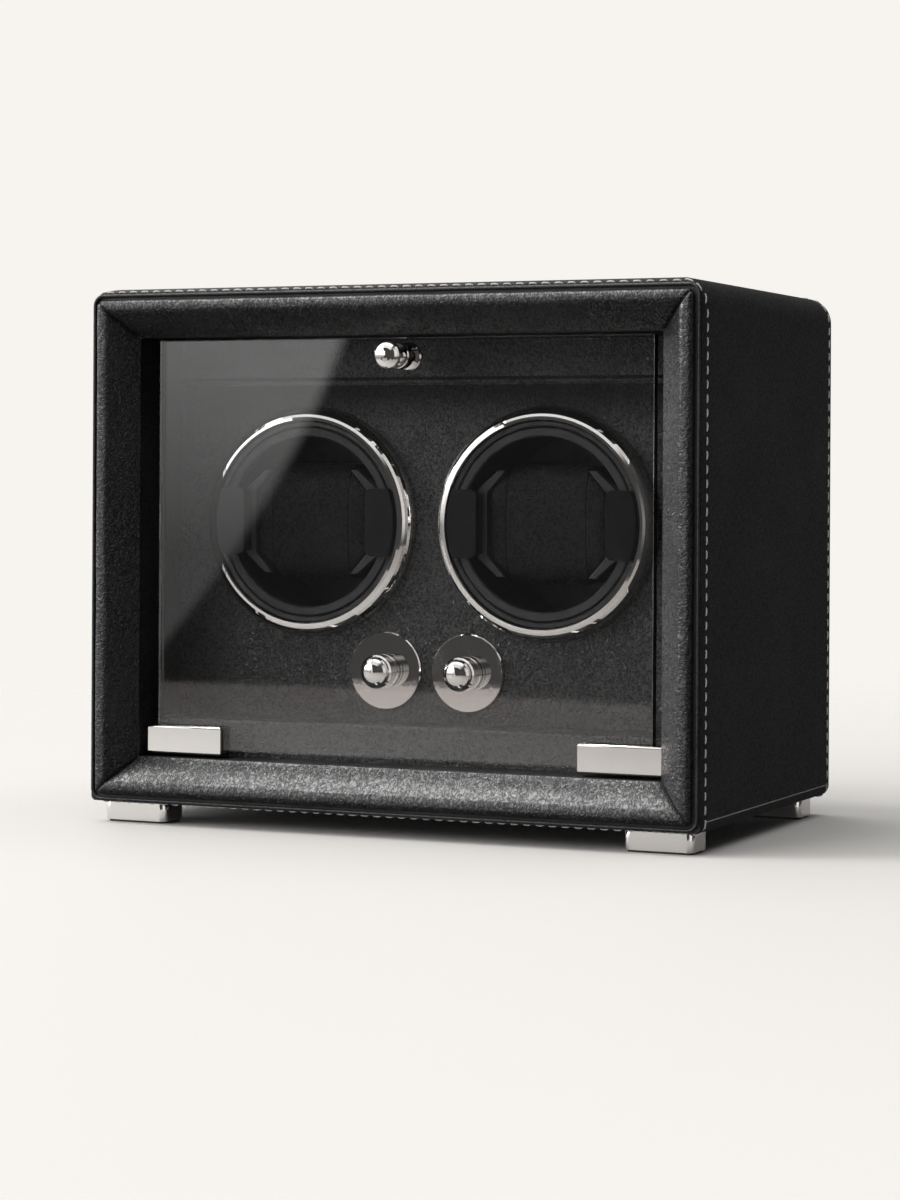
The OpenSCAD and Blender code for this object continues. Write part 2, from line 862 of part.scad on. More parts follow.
module hinge_clip(side) {
    color("silver")
        difference() {
            intersection() {
                along_width(side > 0 ? clip_in_x : -clip_out_x, side > 0 ? clip_out_x : -clip_in_x)
                    clip_section();
                along_depth(clip_front, clip_back)
                    rounded_rect(side > 0 ? clip_in_x : -clip_out_x, clip_bottom,
                                 side > 0 ? clip_out_x : -clip_in_x, clip_top, 1.2, 1.2);
            }
            along_depth(glass_front - gasket_t, glass_back + gasket_t)
                clip_pocket_view(side);
            translate([side * (clip_out_x + glass_x) / 2, welt_y + hinge_d, hinge_z])
                rotate([0, 90, 0])
                    cylinder(r = hinge_pin_r + run_gap, h = clip_out_x - glass_x + 2, center = true);
            along_depth(glass_back + gasket_t - 0.1, clip_back + 1)
                clip_screw_places(side)
                    circle(r = machine_screw_r + screw_gap);
        }
}

// Side view of a clip, with small front and large rear corner radii
module clip_section() {
    rect(clip_front, clip_bottom + clip_front_r, clip_back - clip_rear_r, clip_top - clip_front_r);
    rect(clip_front + clip_front_r, clip_bottom, clip_back - clip_rear_r, clip_top);
    rect(clip_back - clip_rear_r - 0.1, clip_bottom + clip_rear_r, clip_back, clip_top - clip_rear_r);
    for (z = [clip_bottom + clip_front_r, clip_top - clip_front_r])
        translate([clip_front + clip_front_r, z])
            circle(r = clip_front_r);
    for (z = [clip_bottom + clip_rear_r, clip_top - clip_rear_r])
        translate([clip_back - clip_rear_r, z])
            circle(r = clip_rear_r);
}

module clip_gaskets() {
    color("#303030")
        for (side = SIDES)
            difference() {
                along_depth(glass_front - gasket_t, glass_back + gasket_t)
                    rect(side > 0 ? clip_in_x : -glass_x - gasket_t, glass_bottom - gasket_t,
                         side > 0 ? glass_x + gasket_t : -clip_in_x, clip_top - 0.5);
                along_depth(glass_front, glass_back)
                    rect(-glass_x, glass_bottom, glass_x, glass_top);
            }
}

module clip_screws() {
    color("silver")
        for (side = SIDES) {
            along_depth(glass_back + gasket_t, clip_back - 1.2)
                clip_screw_places(side)
                    circle(r = machine_screw_r);
            along_depth(clip_back - 1.2, clip_back - 0.4)
                clip_screw_places(side)
                    difference() {
                        circle(r = machine_screw_r);
                        circle(r = 0.8, $fn = 6);
                    }
        }
}

module hinge_pins() {
    pin_in_x = glass_x + gasket_t + 0.1;
    color("silver")
        for (side = SIDES)
            translate([side * (pin_in_x + liner_x - 0.3) / 2, welt_y + hinge_d, hinge_z])
                rotate([0, 90, 0])
                    cylinder(r = hinge_pin_r, h = liner_x - 0.3 - pin_in_x, center = true);
}

module hinge_bushes() {
    color("#303030")
        for (side = SIDES)
            translate([side * open_x, welt_y + hinge_d, hinge_z])
                rotate([0, side * 90, 0])
                    difference() {
                        union() {
                            cylinder(r = bush_r, h = liner_x - open_x);
                            translate([0, 0, -bush_flange_t])
                                cylinder(r = bush_flange_r, h = bush_flange_t);
                        }
                        translate([0, 0, -bush_flange_t - 1])
                            cylinder(r = hinge_pin_r + run_gap, h = liner_x - open_x + bush_flange_t + 2);
                    }
}

module door_knob() {
    head_front = glass_front - door_knob_reach;
    dome_h = 2.3;
    rim_d0 = head_front + dome_h;
    base_r = door_knob_r * 0.95;
    stud_end_d = glass_back + knob_back_reach - 2;
    color("silver")
        turned_at(0, door_knob_z)
            polygon(concat(
                [for (i = [0:6]) [door_knob_r * sin(15 * i), rim_d0 - dome_h * cos(15 * i)]],
                [[door_knob_r, rim_d0 + 0.8], [door_knob_r - 0.6, rim_d0 + 1.3], [2.9, rim_d0 + 2.4],
                 [2.3, rim_d0 + 4], [2.3, glass_front - 2.6], [3, glass_front - 1.7],
                 [base_r - 0.3, glass_front - 1.5], [base_r, glass_front - 1.2], [base_r, glass_front],
                 [stud_r, glass_front], [stud_r, stud_end_d], [0, stud_end_d]]));
}

module door_knob_back() {
    end_r = door_knob_r + 0.3;
    base_r = door_knob_r * 0.95;
    end_d = glass_back + knob_back_reach;
    color("silver")
        turned_at(0, door_knob_z)
            polygon([[stud_r + run_gap, glass_back], [base_r, glass_back], [base_r, glass_back + 1],
                     [base_r - 0.4, glass_back + 1.3], [2.9, glass_back + 1.6], [2.9, end_d - 2.6],
                     [end_r - 0.5, end_d - 1.8], [end_r, end_d - 1.3], [end_r, end_d - 0.5],
                     [end_r - 0.5, end_d], [0, end_d], [0, end_d - 1.9], [stud_r + run_gap, end_d - 1.9]]);
}

// ---- Winder module, fixed pieces ----

module bezel(side) {
    steps = 8;
    color("silver")
        turned_at(side * winder_x, winder_z)
            polygon(concat(
                [[bezel_bore_r, panel_d], [bezel_bore_r, panel_d - bezel_h + 0.6]],
                [for (i = [0:steps]) let (a = 90 * i / steps)
                    [bezel_lip_r + (bezel_r - bezel_lip_r) * sin(a), panel_d - bezel_h * cos(a)]]));
}

// Fixed bucket behind the panel, with a bearing hub in its back wall and four pillars
// that carry the drive chassis
module housing(side) {
    color("#0c0c0d")
        difference() {
            union() {
                turned_at(side * winder_x, winder_z)
                    polygon([[housing_bore_r, rim_d + 0.4], [housing_bore_r + 0.4, rim_d],
                             [housing_r - 0.4, rim_d], [housing_r, rim_d + 0.4],
                             [housing_r, panel_back], [flange_r, panel_back],
                             [flange_r, panel_back + flange_t], [housing_r, panel_back + flange_t],
                             [housing_r, housing_rear], [bearing_r + run_gap, housing_rear],
                             [bearing_r + run_gap, bearing_d], [bearing_r + 2.5, bearing_d],
                             [bearing_r + 2.5, housing_floor_d], [housing_bore_r, housing_floor_d]]);
                for (x = SIDES)
                    for (z = SIDES)
                        rod(side * winder_x + x * pillar_offset, winder_z + z * pillar_offset,
                            pillar_r, housing_rear - 0.5, chassis_d);
            }
            along_depth(panel_back - 1, panel_back + flange_t + 1)
                flange_screw_places()
                    circle(r = wood_screw_r + screw_gap);
            for (x = SIDES)
                for (z = SIDES)
                    rod(side * winder_x + x * pillar_offset, winder_z + z * pillar_offset,
                        machine_screw_r + screw_gap, chassis_d - 6, chassis_d + 1);
        }
}

module spindle_bearings() {
    color("goldenrod")
        for (side = SIDES) {
            turned_at(side * winder_x, winder_z)
                polygon([[spindle_r + run_gap, bearing_d], [bearing_r, bearing_d],
                         [bearing_r, housing_rear], [spindle_r + run_gap, housing_rear]]);
            turned_at(side * winder_x, winder_z)
                polygon([[spindle_r + run_gap, chassis_d - chassis_bush_flange],
                         [bearing_r + 0.5, chassis_d - chassis_bush_flange], [bearing_r + 0.5, chassis_d],
                         [bearing_r - 1, chassis_d], [bearing_r - 1, chassis_rear + 1],
                         [spindle_r + run_gap, chassis_rear + 1]]);
        }
}

module drive_chassis() {
    lobe_r = motor_r + 2;
    color("lightsteelblue")
        along_depth(chassis_d, chassis_rear)
            difference() {
                union() {
                    for (side = SIDES) {
                        translate([side * winder_x, winder_z])
                            circle(r = housing_r);
                        translate([side * winder_x, pinion_z])
                            circle(r = lobe_r);
                        rect(side * winder_x - lobe_r, pinion_z, side * winder_x + lobe_r, winder_z);
                    }
                    rect(-winder_x, winder_z - 14, winder_x, winder_z + 14);
                }
                for (side = SIDES) {
                    translate([side * winder_x, winder_z])
                        circle(r = bearing_r - 1 + run_gap);
                    translate([side * winder_x, pinion_z])
                        circle(r = motor_boss_r + screw_gap);
                    for (x = SIDES) {
                        translate([side * winder_x + x * motor_screw_x, pinion_z])
                            circle(r = machine_screw_r + screw_gap);
                        for (z = SIDES)
                            translate([side * winder_x + x * pillar_offset, winder_z + z * pillar_offset])
                                circle(r = machine_screw_r + screw_gap);
                    }
                    for (a = [90, 200, 340])
                        translate([side * winder_x + 18 * cos(a), winder_z + 18 * sin(a)])
                            circle(r = 6);
                }
                rounded_rect(-7, winder_z - 8, 7, winder_z + 8, 3, 3);
            }
}

module gearmotor(side) {
    color("gray")
        difference() {
            turned_at(side * winder_x, pinion_z)
                polygon([[motor_shaft_r + run_gap, chassis_rear - motor_boss_l],
                         [motor_boss_r, chassis_rear - motor_boss_l], [motor_boss_r, chassis_rear],
                         [motor_r, chassis_rear], [motor_r, chassis_rear + gearbox_l],
                         [motor_can_r, chassis_rear + gearbox_l],
                         [motor_can_r, motor_rear - motor_tail_l - 1],
                         [motor_can_r - 1, motor_rear - motor_tail_l],
                         [motor_tail_r, motor_rear - motor_tail_l], [motor_tail_r, motor_rear],
                         [0, motor_rear], [0, chassis_rear + 8.4],
                         [motor_shaft_r + run_gap, chassis_rear + 8.4]]);
            for (x = SIDES)
                rod(side * winder_x + x * motor_screw_x, pinion_z, machine_screw_r + screw_gap,
                    chassis_rear - 1, chassis_rear + 6);
        }
}

// A pan head screw along the depth, seated at seat_d. Its head is behind that face when
// faces is 1, and in front of it when faces is -1.
module machine_screw(x, z, seat_d, length, faces) {
    rod(x, z, machine_head_r, faces > 0 ? seat_d : seat_d - machine_head_h,
        faces > 0 ? seat_d + machine_head_h : seat_d);
    rod(x, z, machine_screw_r, faces > 0 ? seat_d - length : seat_d - 0.1,
        faces > 0 ? seat_d + 0.1 : seat_d + length);
}

BOARD_SCREWS = [for (x = SIDES) for (z = [board_bottom + board_screw_inset, board_top - board_screw_inset])
    [x * (board_x - board_screw_inset), z]];

module machine_screws() {
    color("silver") {
        for (side = SIDES) {
            for (x = SIDES) {
                for (z = SIDES)
                    machine_screw(side * winder_x + x * pillar_offset, winder_z + z * pillar_offset,
                                  chassis_rear, 7, 1);
                machine_screw(side * winder_x + x * motor_screw_x, pinion_z, chassis_d, 7, -1);
            }
        }
        for (place = BOARD_SCREWS)
            machine_screw(place[0], place[1], board_d, 6, -1);
    }
}

// ---- Winder module, turning pieces ----

module cup(side) {
    color("#101011")
        difference() {
            union() {
                turned_at(side * winder_x, winder_z)
                    polygon([[0, cup_floor], [cup_r - cup_wall, cup_floor], [cup_r - cup_wall, cup_front],
                             [cup_r, cup_front], [cup_r, cup_rear - 1.5], [cup_r - 1.5, cup_rear],
                             [cup_boss_r, cup_rear], [cup_boss_r, cup_rear + boss_l],
                             [0, cup_rear + boss_l]]);
                along_depth(post_front, cup_floor + 0.5)
                    translate([side * winder_x, winder_z])
                        square(post_side, center = true);
            }
            rod(side * winder_x, winder_z, spindle_r + run_gap, post_front + 4, cup_rear + boss_l + 1);
        }
}

module cup_rim(side) {
    chamfer = 0.5;
    color("#4a4a4c")
        turned_at(side * winder_x, winder_z)
            polygon([[rim_bore_r, rim_d + chamfer], [rim_bore_r + chamfer, rim_d],
                     [cup_r - chamfer, rim_d], [cup_r, rim_d + chamfer], [cup_r, cup_front],
                     [rim_bore_r, cup_front]]);
}

// Half of one tooth's flank as (radius, half angle) on an involute
function involute_angle(r, base_r) =
    let (a = acos(min(1, base_r / r))) tan(a) * 180 / PI - a;

// Outline of a spur gear with a tooth centred on angle 0
function gear_outline(teeth, thinning) =
    let (pitch_r = gear_module * teeth / 2, base_r = pitch_r * cos(pressure_angle),
         tip_r = pitch_r + gear_module, root_r = pitch_r - 1.25 * gear_module,
         half = 90 / teeth - thinning / (2 * pitch_r) * 180 / PI + involute_angle(pitch_r, base_r),
         start_r = max(root_r + 0.05, base_r), flank_steps = 3)
    [for (k = [0:teeth - 1]) let (centre = 360 * k / teeth) each concat(
        [[root_r, centre - half - 0.12 * 90 / teeth]],
        [for (i = [0:flank_steps]) let (r = start_r + (tip_r - start_r) * i / flank_steps)
            [r, centre - half + involute_angle(r, base_r)]],
        [for (i = [flank_steps:-1:0]) let (r = start_r + (tip_r - start_r) * i / flank_steps)
            [r, centre + half - involute_angle(r, base_r)]],
        [[root_r, centre + half + 0.12 * 90 / teeth]])];

function to_xy(polar) = [for (p = polar) [p[0] * cos(p[1]), p[0] * sin(p[1])]];

module drive_gear(side) {
    web_t = 2;
    rim_w = 5;
    color("ivory") {
        difference() {
            along_depth(gear_d, gear_rear)
                translate([side * winder_x, winder_z])
                    rotate([0, 0, -90])
                        polygon(to_xy(gear_outline(gear_teeth, backlash / 2)));
            turned_at(side * winder_x, winder_z)
                polygon([[9, gear_d - 1], [gear_pitch_r - rim_w, gear_d - 1],
                         [gear_pitch_r - rim_w, gear_rear - web_t], [9, gear_rear - web_t]]);
            for (a = [30:60:330])
                rod(side * winder_x + 16.5 * cos(a), winder_z + 16.5 * sin(a), 4, gear_d, gear_rear + 1);
        }
        rod(side * winder_x, winder_z, spindle_r + 2, gear_d - gear_hub_l, gear_d + 0.5);
        rod(side * winder_x, winder_z, spindle_r, post_front + 4.3, chassis_rear + 1.5);
    }
}

module pinion(side) {
    color("goldenrod")
        union() {
            along_depth(gear_d, gear_rear)
                translate([side * winder_x, pinion_z])
                    rotate([0, 0, 90 + 180 / pinion_teeth])
                        polygon(to_xy(gear_outline(pinion_teeth, backlash / 2)));
            rod(side * winder_x, pinion_z, motor_shaft_r, gear_d - 0.8, chassis_rear + 8);
        }
}

// ---- Watch holder ----

module holder(side) {
    color("#3a3a3c")
        translate([side * winder_x, 0, winder_z])
            difference() {
                union() {
                    along_depth(arm_d, arm_d + arm_t)
                        for (x = SIDES)
                            polygon([for (p = [[arm_tip_x, arm_tip_z], [arm_tip_x + 3, arm_tip_z],
                                               [cheek_x, grip_h / 2], [cheek_x, -grip_h / 2],
                                               [arm_tip_x + 3, -arm_tip_z], [arm_tip_x, -arm_tip_z],
                                               [arm_in_x, -cheek_h / 2], [arm_in_x, cheek_h / 2]])
                                         [x * p[0], p[1]]]);
                    along_depth(arm_d + arm_t - 0.5, bar_d + bar_t)
                        for (x = SIDES)
                            rect(x > 0 ? arm_in_x : -cheek_x, -cheek_h / 2,
                                 x > 0 ? cheek_x : -arm_in_x, cheek_h / 2);
                    along_depth(bar_d, bar_d + bar_t)
                        rect(-cheek_x, -cheek_h / 2, cheek_x, cheek_h / 2);
                    along_depth(core_front, core_rear)
                        square(core_side, center = true);
                }
                along_depth(core_front + 3.7, core_rear + 1)
                    square(post_side + 2 * seat_gap, center = true);
            }
}

module grips(side) {
    corner_r = 3;
    color("#0a0a0b")
        translate([side * winder_x, 0, winder_z])
            for (x = SIDES) {
                grip_out_x = grip_in_x + grip_w;
                along_depth(grip_front, grip_front + grip_t)
                    intersection() {
                        circle(r = grip_limit_r);
                        rounded_rect(x > 0 ? grip_in_x : -grip_out_x, -grip_h / 2,
                                     x > 0 ? grip_out_x : -grip_in_x, grip_h / 2, corner_r, corner_r);
                    }
                along_depth(grip_front + grip_t, arm_d)
                    intersection() {
                        circle(r = grip_stem_r);
                        rect(x > 0 ? grip_in_x : -grip_out_x, -grip_h / 2 + 1.5,
                             x > 0 ? grip_out_x : -grip_in_x, grip_h / 2 - 1.5);
                    }
            }
}

module cushion(side) {
    hollow = core_side + 2 * seat_gap;
    tip_x = arm_tip_x - corner_gap;
    side_x = arm_in_x - corner_gap;
    tip_z = arm_tip_z - corner_gap;
    side_z = cheek_h / 2 - corner_gap;
    right_half = [[tip_x, cushion_h / 2], [tip_x, tip_z], [side_x, side_z],
                  [side_x, -side_z], [tip_x, -tip_z], [tip_x, -cushion_h / 2]];
    color("#1a1a1b")
        translate([side * winder_x, 0, winder_z])
            difference() {
                intersection() {
                    along_width(-cushion_w / 2, cushion_w / 2)
                        rounded_rect(cushion_front, -cushion_h / 2, cushion_rear, cushion_h / 2,
                                     cushion_r, cushion_r);
                    along_depth(cushion_front, cushion_rear)
                        polygon(concat(right_half, mirrored(right_half)));
                }
                along_depth(core_front - seat_gap, cushion_rear + 1)
                    square(hollow, center = true);
            }
}

// ---- Selector switches ----

module knob_plates() {
    edge = 0.4;
    color("silver")
        for (side = SIDES)
            turned_at(side * selector_x, selector_z)
                polygon([[switch_bush_r + screw_gap, panel_d], [plate_r, panel_d], [plate_r, plate_d + edge],
                         [plate_r - edge, plate_d], [switch_bush_r + screw_gap, plate_d]]);
}

module selector_switches() {
    color("dimgray")
        for (side = SIDES) {
            difference() {
                union() {
                    along_depth(panel_back, switch_back)
                        translate([side * selector_x, selector_z])
                            square(switch_side, center = true);
                    rod(side * selector_x, selector_z, switch_bush_r,
                        plate_d - switch_nut_t - 0.2, panel_back + 1);
                }
                rod(side * selector_x, selector_z, switch_shaft_r + run_gap, plate_d - 5, switch_back - 3);
            }
            along_depth(plate_d - switch_nut_t, plate_d)
                translate([side * selector_x, selector_z])
                    difference() {
                        circle(r = switch_nut_r, $fn = 6);
                        circle(r = switch_bush_r + screw_gap);
                    }
        }
}

module selector_knob(side) {
    cavity_r = switch_nut_r + 0.4;
    cavity_d = selector_back - switch_nut_t - 0.6;
    groove_d = selector_back - 2.6;
    tip_r = selector_r * 0.9;
    dome_h = 2.6;
    color("silver") {
        turned_at(side * selector_x, selector_z)
            polygon(concat(
                [for (i = [0:6]) [tip_r * sin(15 * i), selector_front + dome_h * (1 - cos(15 * i))]],
                [[selector_r, selector_front + dome_h + 0.5], [selector_r, groove_d],
                 [selector_r - 0.5, groove_d + 0.2], [selector_r - 0.5, groove_d + 0.7],
                 [selector_r, groove_d + 0.9], [selector_r, selector_back], [cavity_r, selector_back],
                 [cavity_r, cavity_d], [switch_shaft_r + run_gap, cavity_d],
                 [switch_shaft_r + run_gap, selector_front + 4], [0, selector_front + 4]]));
        rod(side * selector_x, selector_z, switch_shaft_r, selector_front + 4, switch_back - 3.3);
    }
}

// ---- Power and control ----

module circuit_board() {
    color("seagreen") {
        difference() {
            union() {
                along_depth(board_d, board_d + board_t)
                    rect(-board_x, board_bottom, board_x, board_top);
                along_depth(board_d - 2, board_d + 0.1)
                    rect(-5, board_bottom + 16, 5, board_bottom + 26);
                along_depth(board_d - 5, board_d + 0.1)
                    for (x = SIDES)
                        rect(x * 30 - 4, board_bottom + 22, x * 30 + 4, board_bottom + 28);
                for (x = [-38, 36])
                    rod(x, board_bottom + 12, 3, board_d - 7, board_d + 0.1);
            }
            for (place = BOARD_SCREWS)
                rod(place[0], place[1], machine_screw_r + screw_gap, board_d - 1, board_d + board_t + 1);
        }
        for (place = BOARD_SCREWS)
            difference() {
                rod(place[0], place[1], standoff_r, board_d + board_t, back_seat);
                rod(place[0], place[1], machine_screw_r + screw_gap, board_d + board_t - 1, board_d + 6.5);
            }
    }
}

module power_jack() {
    outer_d = back_seat + back_t + jack_flange_t;
    color("#151515") {
        turned_at(0, jack_z)
            polygon([[0, jack_tail], [jack_r, jack_tail], [jack_r, back_seat + back_t],
                     [jack_flange_r, back_seat + back_t], [jack_flange_r, outer_d],
                     [jack_bore_r, outer_d], [jack_bore_r, outer_d - 9], [jack_pin_r, outer_d - 9],
                     [jack_pin_r, outer_d - 1.5], [0, outer_d - 1.5]]);
        along_depth(back_seat - 2, back_seat)
            translate([0, jack_z])
                difference() {
                    circle(r = jack_flange_r, $fn = 6);
                    circle(r = jack_r + screw_gap);
                }
    }
}

module wiring_leads() {
    color("firebrick") {
        for (side = SIDES) {
            rod(side * winder_x, pinion_z, lead_r, motor_rear, board_d);
            rod(side * selector_x, selector_z, lead_r, switch_back, board_d);
        }
        rod(0, jack_z, lead_r, board_d + board_t, jack_tail);
    }
}

carcass();
leather_wrap();
front_welt();
frame_backer();
padded_rail("top");  // top_rail
padded_rail("bottom");  // bottom_rail
padded_rail("left");  // left_rail
padded_rail("right");  // right_rail
recess_liner();
inner_panel();
header_strip();
sill();
panel_cleats();
back_panel();
wood_screws();
foot(LEFT * foot_x, foot_front_d);  // front_left_foot
foot(RIGHT * foot_x, foot_front_d);  // front_right_foot
foot(LEFT * foot_x, foot_rear_d);  // rear_left_foot
foot(RIGHT * foot_x, foot_rear_d);  // rear_right_foot
foot_pads();
foot_screws();
hinge_bushes();
bezel(LEFT);  // left_bezel
bezel(RIGHT);  // right_bezel
housing(LEFT);  // left_housing
housing(RIGHT);  // right_housing
spindle_bearings();
drive_chassis();
gearmotor(LEFT);  // left_gearmotor
gearmotor(RIGHT);  // right_gearmotor
machine_screws();
knob_plates();
selector_switches();
circuit_board();
power_jack();
wiring_leads();
glass_pane();
hinge_clip(LEFT);  // left_hinge_clip
hinge_clip(RIGHT);  // right_hinge_clip
clip_gaskets();
clip_screws();
hinge_pins();
door_knob();
door_knob_back();
cup(LEFT);  // left_cup
cup_rim(LEFT);  // left_cup_rim
drive_gear(LEFT);  // left_drive_gear
pinion(LEFT);  // left_pinion
holder(LEFT);  // left_holder
grips(LEFT);  // left_grips
cushion(LEFT);  // left_cushion
selector_knob(LEFT);  // left_knob
cup(RIGHT);  // right_cup
cup_rim(RIGHT);  // right_cup_rim
drive_gear(RIGHT);  // right_drive_gear
pinion(RIGHT);  // right_pinion
holder(RIGHT);  // right_holder
grips(RIGHT);  // right_grips
cushion(RIGHT);  // right_cushion
selector_knob(RIGHT);  // right_knob
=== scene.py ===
"""Looks, light and camera for the watch winder box."""
import json
import math

import bmesh
import bpy
import numpy as np
from mathutils import Matrix, Vector, noise
from mathutils.bvhtree import BVHTree


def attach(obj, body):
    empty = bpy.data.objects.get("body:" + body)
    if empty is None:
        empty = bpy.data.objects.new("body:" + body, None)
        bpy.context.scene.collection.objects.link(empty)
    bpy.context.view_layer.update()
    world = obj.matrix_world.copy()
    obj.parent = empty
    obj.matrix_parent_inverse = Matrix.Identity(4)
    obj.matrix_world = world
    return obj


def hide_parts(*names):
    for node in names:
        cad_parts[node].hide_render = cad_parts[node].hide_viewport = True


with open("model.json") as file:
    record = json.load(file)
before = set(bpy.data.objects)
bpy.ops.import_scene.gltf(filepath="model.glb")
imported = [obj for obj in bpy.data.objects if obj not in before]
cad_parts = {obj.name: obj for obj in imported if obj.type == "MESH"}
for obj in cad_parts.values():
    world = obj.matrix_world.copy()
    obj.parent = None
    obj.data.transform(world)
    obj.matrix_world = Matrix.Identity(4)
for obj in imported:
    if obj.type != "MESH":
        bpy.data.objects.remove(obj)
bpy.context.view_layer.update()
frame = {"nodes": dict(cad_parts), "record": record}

MM = 0.001

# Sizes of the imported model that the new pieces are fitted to, and of the rails' padding, in millimetres.
# Depths are counted from the seam round the front of the case.
WELT_Y = -76.75
CASE_X = 127.0
CASE_BOTTOM = 7.7
CASE_TOP = 208.9
RAIL_X = 123.85
RAIL_BOTTOM = 10.85
RAIL_TOP = 204.55
RAIL_W = 14.85
RAIL_CORNER_R = 2.35
RAIL_SEAT = 1.5
CREST_H = 2.0
FRAME_BACK = 8.3
BEVEL_DEG = 46.0
ROLL_R = 2.6
BEND_R = 4.0
RAIL_TUCK = 0.45
PAD_T = 1.8
MITRE_GAP = 0.1
WINDER_X = 50.1
WINDER_Z = 118.1
HEADER_BOTTOM = 172.5

# How far the padding of a rail stands out or sinks in, in millimetres, with the scales of its unevenness
# along the rail and by section point. The mitre seam pulls it in by so much, over such a reach.
RAIL_CROWN = 0.28
RAIL_UNEVEN = 0.15
RAIL_UNEVEN_SCALE = (0.055, 0.09)
RAIL_RIPPLE = 0.05
RAIL_RIPPLE_SCALE = (0.21, 0.16)
RAIL_RIPPLE_SEED = 5.0
RAIL_SEEDS = {"top": 3.1, "bottom": 17.7, "left": 31.3, "right": 47.9}
RAIL_SETTLE = 0.05
MITRE_PULL = (0.5, 0.7)
MITRE_DRAW = (0.16, 3.5)

# Section points over which the unevenness grows from the skin's first and last, and the shares of the
# mitre's pull that act there and that grow in with the unevenness
RAIL_HELD_POINTS = (4, 3)
RAIL_HELD_SHARE = (0.3, 0.7)

# How the rails are divided into faces, and the bend in degrees from which an edge is shaded sharp
ROLL_STEPS = 12
TUCK_STEPS = 7
BEND_STEPS = 8
RAIL_BEVEL_STEPS = 16
LINING_STEPS = 3
RAIL_STATIONS = [0.0, 0.25, 0.5, 0.8, 1.2, 1.7, 2.4, 3.3, 4.5, 6.0, 8.0, 10.0]
RAIL_PITCH = 1.3
RAIL_SHARP_DEG = 50

# Stitches
FRONT_ROW_DEPTH = 5.6
TOP_ROW_DEPTH = 1.65
TOP_ROW_FROM_Z = 194.0
ROW_CORNER_R = 8.0
ROW_FOOT_R = 4.0
REAR_ROW_DEPTH = 152.6
HEM_Z = 12.3
STITCH_PITCH = 5.1
STITCH_L = 3.75
STITCH_R = 0.4
HEM_PITCH = 2.0
HEM_STITCH_L = 1.3
HEM_STITCH_R = 0.2
HEM_FROM_ROWS = 1.0
STITCH_RINGS = 9
STITCH_SIDES = 8
STITCH_RAY_FROM = 6.0
ROW_STEP = 0.5
ROW_ARC_STEPS = 24

# Shape of one stitch: how it thins to its ends, its rise, dip and skew in radii, its flatness, and how
# much its width and length vary
STITCH_TAPER = 0.72
STITCH_THINNEST = 0.05
STITCH_RISE = 0.35
STITCH_DIP = 1.5
STITCH_SKEW = 0.22
STITCH_FLATNESS = 0.85
STITCH_WIDTH_JITTER = 0.08
STITCH_LENGTH_JITTER = 0.1
STITCH_JITTER_STEP = 0.73
STITCH_JITTER_SEED = (1.7, 0.3)

# Cushions. The voxels and the rise are in metres, other lengths in millimetres.
CUSHION_VOXEL = 0.0016
CUSHION_PRESSURE = 4.0
CUSHION_FRAMES = 20
CUSHION_RISE = 0.0011
CUSHION_SEAM_X = 16.5
CUSHION_POCKET_DEPTH = 56.0
CUSHION_POCKET_R = 11.5
CUSHION_MASS = 0.12
CUSHION_GATHER = 0.28
CUSHION_GATHER_SCALE = (0.09, 0.16, 0.30)
CUSHION_SINK = 0.12

# The range that most of a noise texture lies in
NOISE_RANGE = (0.3, 0.7)

# Grain of the leather. Scales are in cycles per millimetre, a share is a part of the height, and a width
# is a distance from the middle value of the crease noise.
WARP_SCALE = 0.45
WARP_IN_CELLS = 2.4
PEBBLE_SHARE = 0.4
PEBBLE_EDGES = (0.1, 0.8)
PORE_SCALE = 2.6
PORE_SHARE = 0.06
CREASE_WIDTH = 0.12
WEAR_SCALE = 0.035
# Painted shade and light by height: below the first height the leather is painted darker by the first gain,
# above the second it is painted lighter by the second.
PAINTED_SHADE_HEIGHTS = (0.2, 0.9)
PAINTED_SHADE_GAINS = (0.4, 1.25)
WEAR_EDGES = (0.35, 0.7)
WEAR_GAIN = 1.12
ROUGH_HEIGHTS = (0.25, 1.0)
ROUGH_CHANGES = (0.22, -0.06)
CREASE_SHINE_WIDTH = 0.09
CREASE_SHINE = 0.4
OPEN_SHINE = 1.07

# Half-width in millimetres of the sewn lines in the leather, and how far they change its height
STITCH_CHANNEL = (0.9, -1.6)
HEM_CHANNEL = (0.5, -0.9)
CUSHION_SEAM = (0.55, -3.0)

# Painted shade on the panel leather, as lost shine: where it loses shine, in millimetres below the lower
# edge of the header strip, where the strip's shadow falls, and, for the strip's turned edge, above it. Each
# share is the most that is lost.
HEADER_SHADE = 20.0
HEADER_SHADE_FULL = 2.0
HEADER_SHADE_END = 0.8
HEADER_SHADE_SHARE = 0.85
HEADER_TURN_AT = 1.6
HEADER_TURN = (0.4, 0.9)
HEADER_TURN_SHARE = 0.9

# Rounded edges of the CAD nodes. The weld distance is in millimetres.
WELD_DISTANCE = 0.002
EDGE_SEGMENTS = 3
EDGE_ANGLE_DEG = 35

# Camera. Its place is in millimetres.
CAMERA_AT = (489.94, -1105.51, 137.8)
CAMERA_AZIMUTH = 24.18
CAMERA_ROLL = 0.31
CAMERA_LENS = 91.07
CAMERA_SENSOR = 36.0
CAMERA_SHIFT_Y = -0.1065
CAMERA_CLIP = (0.01, 20.0)

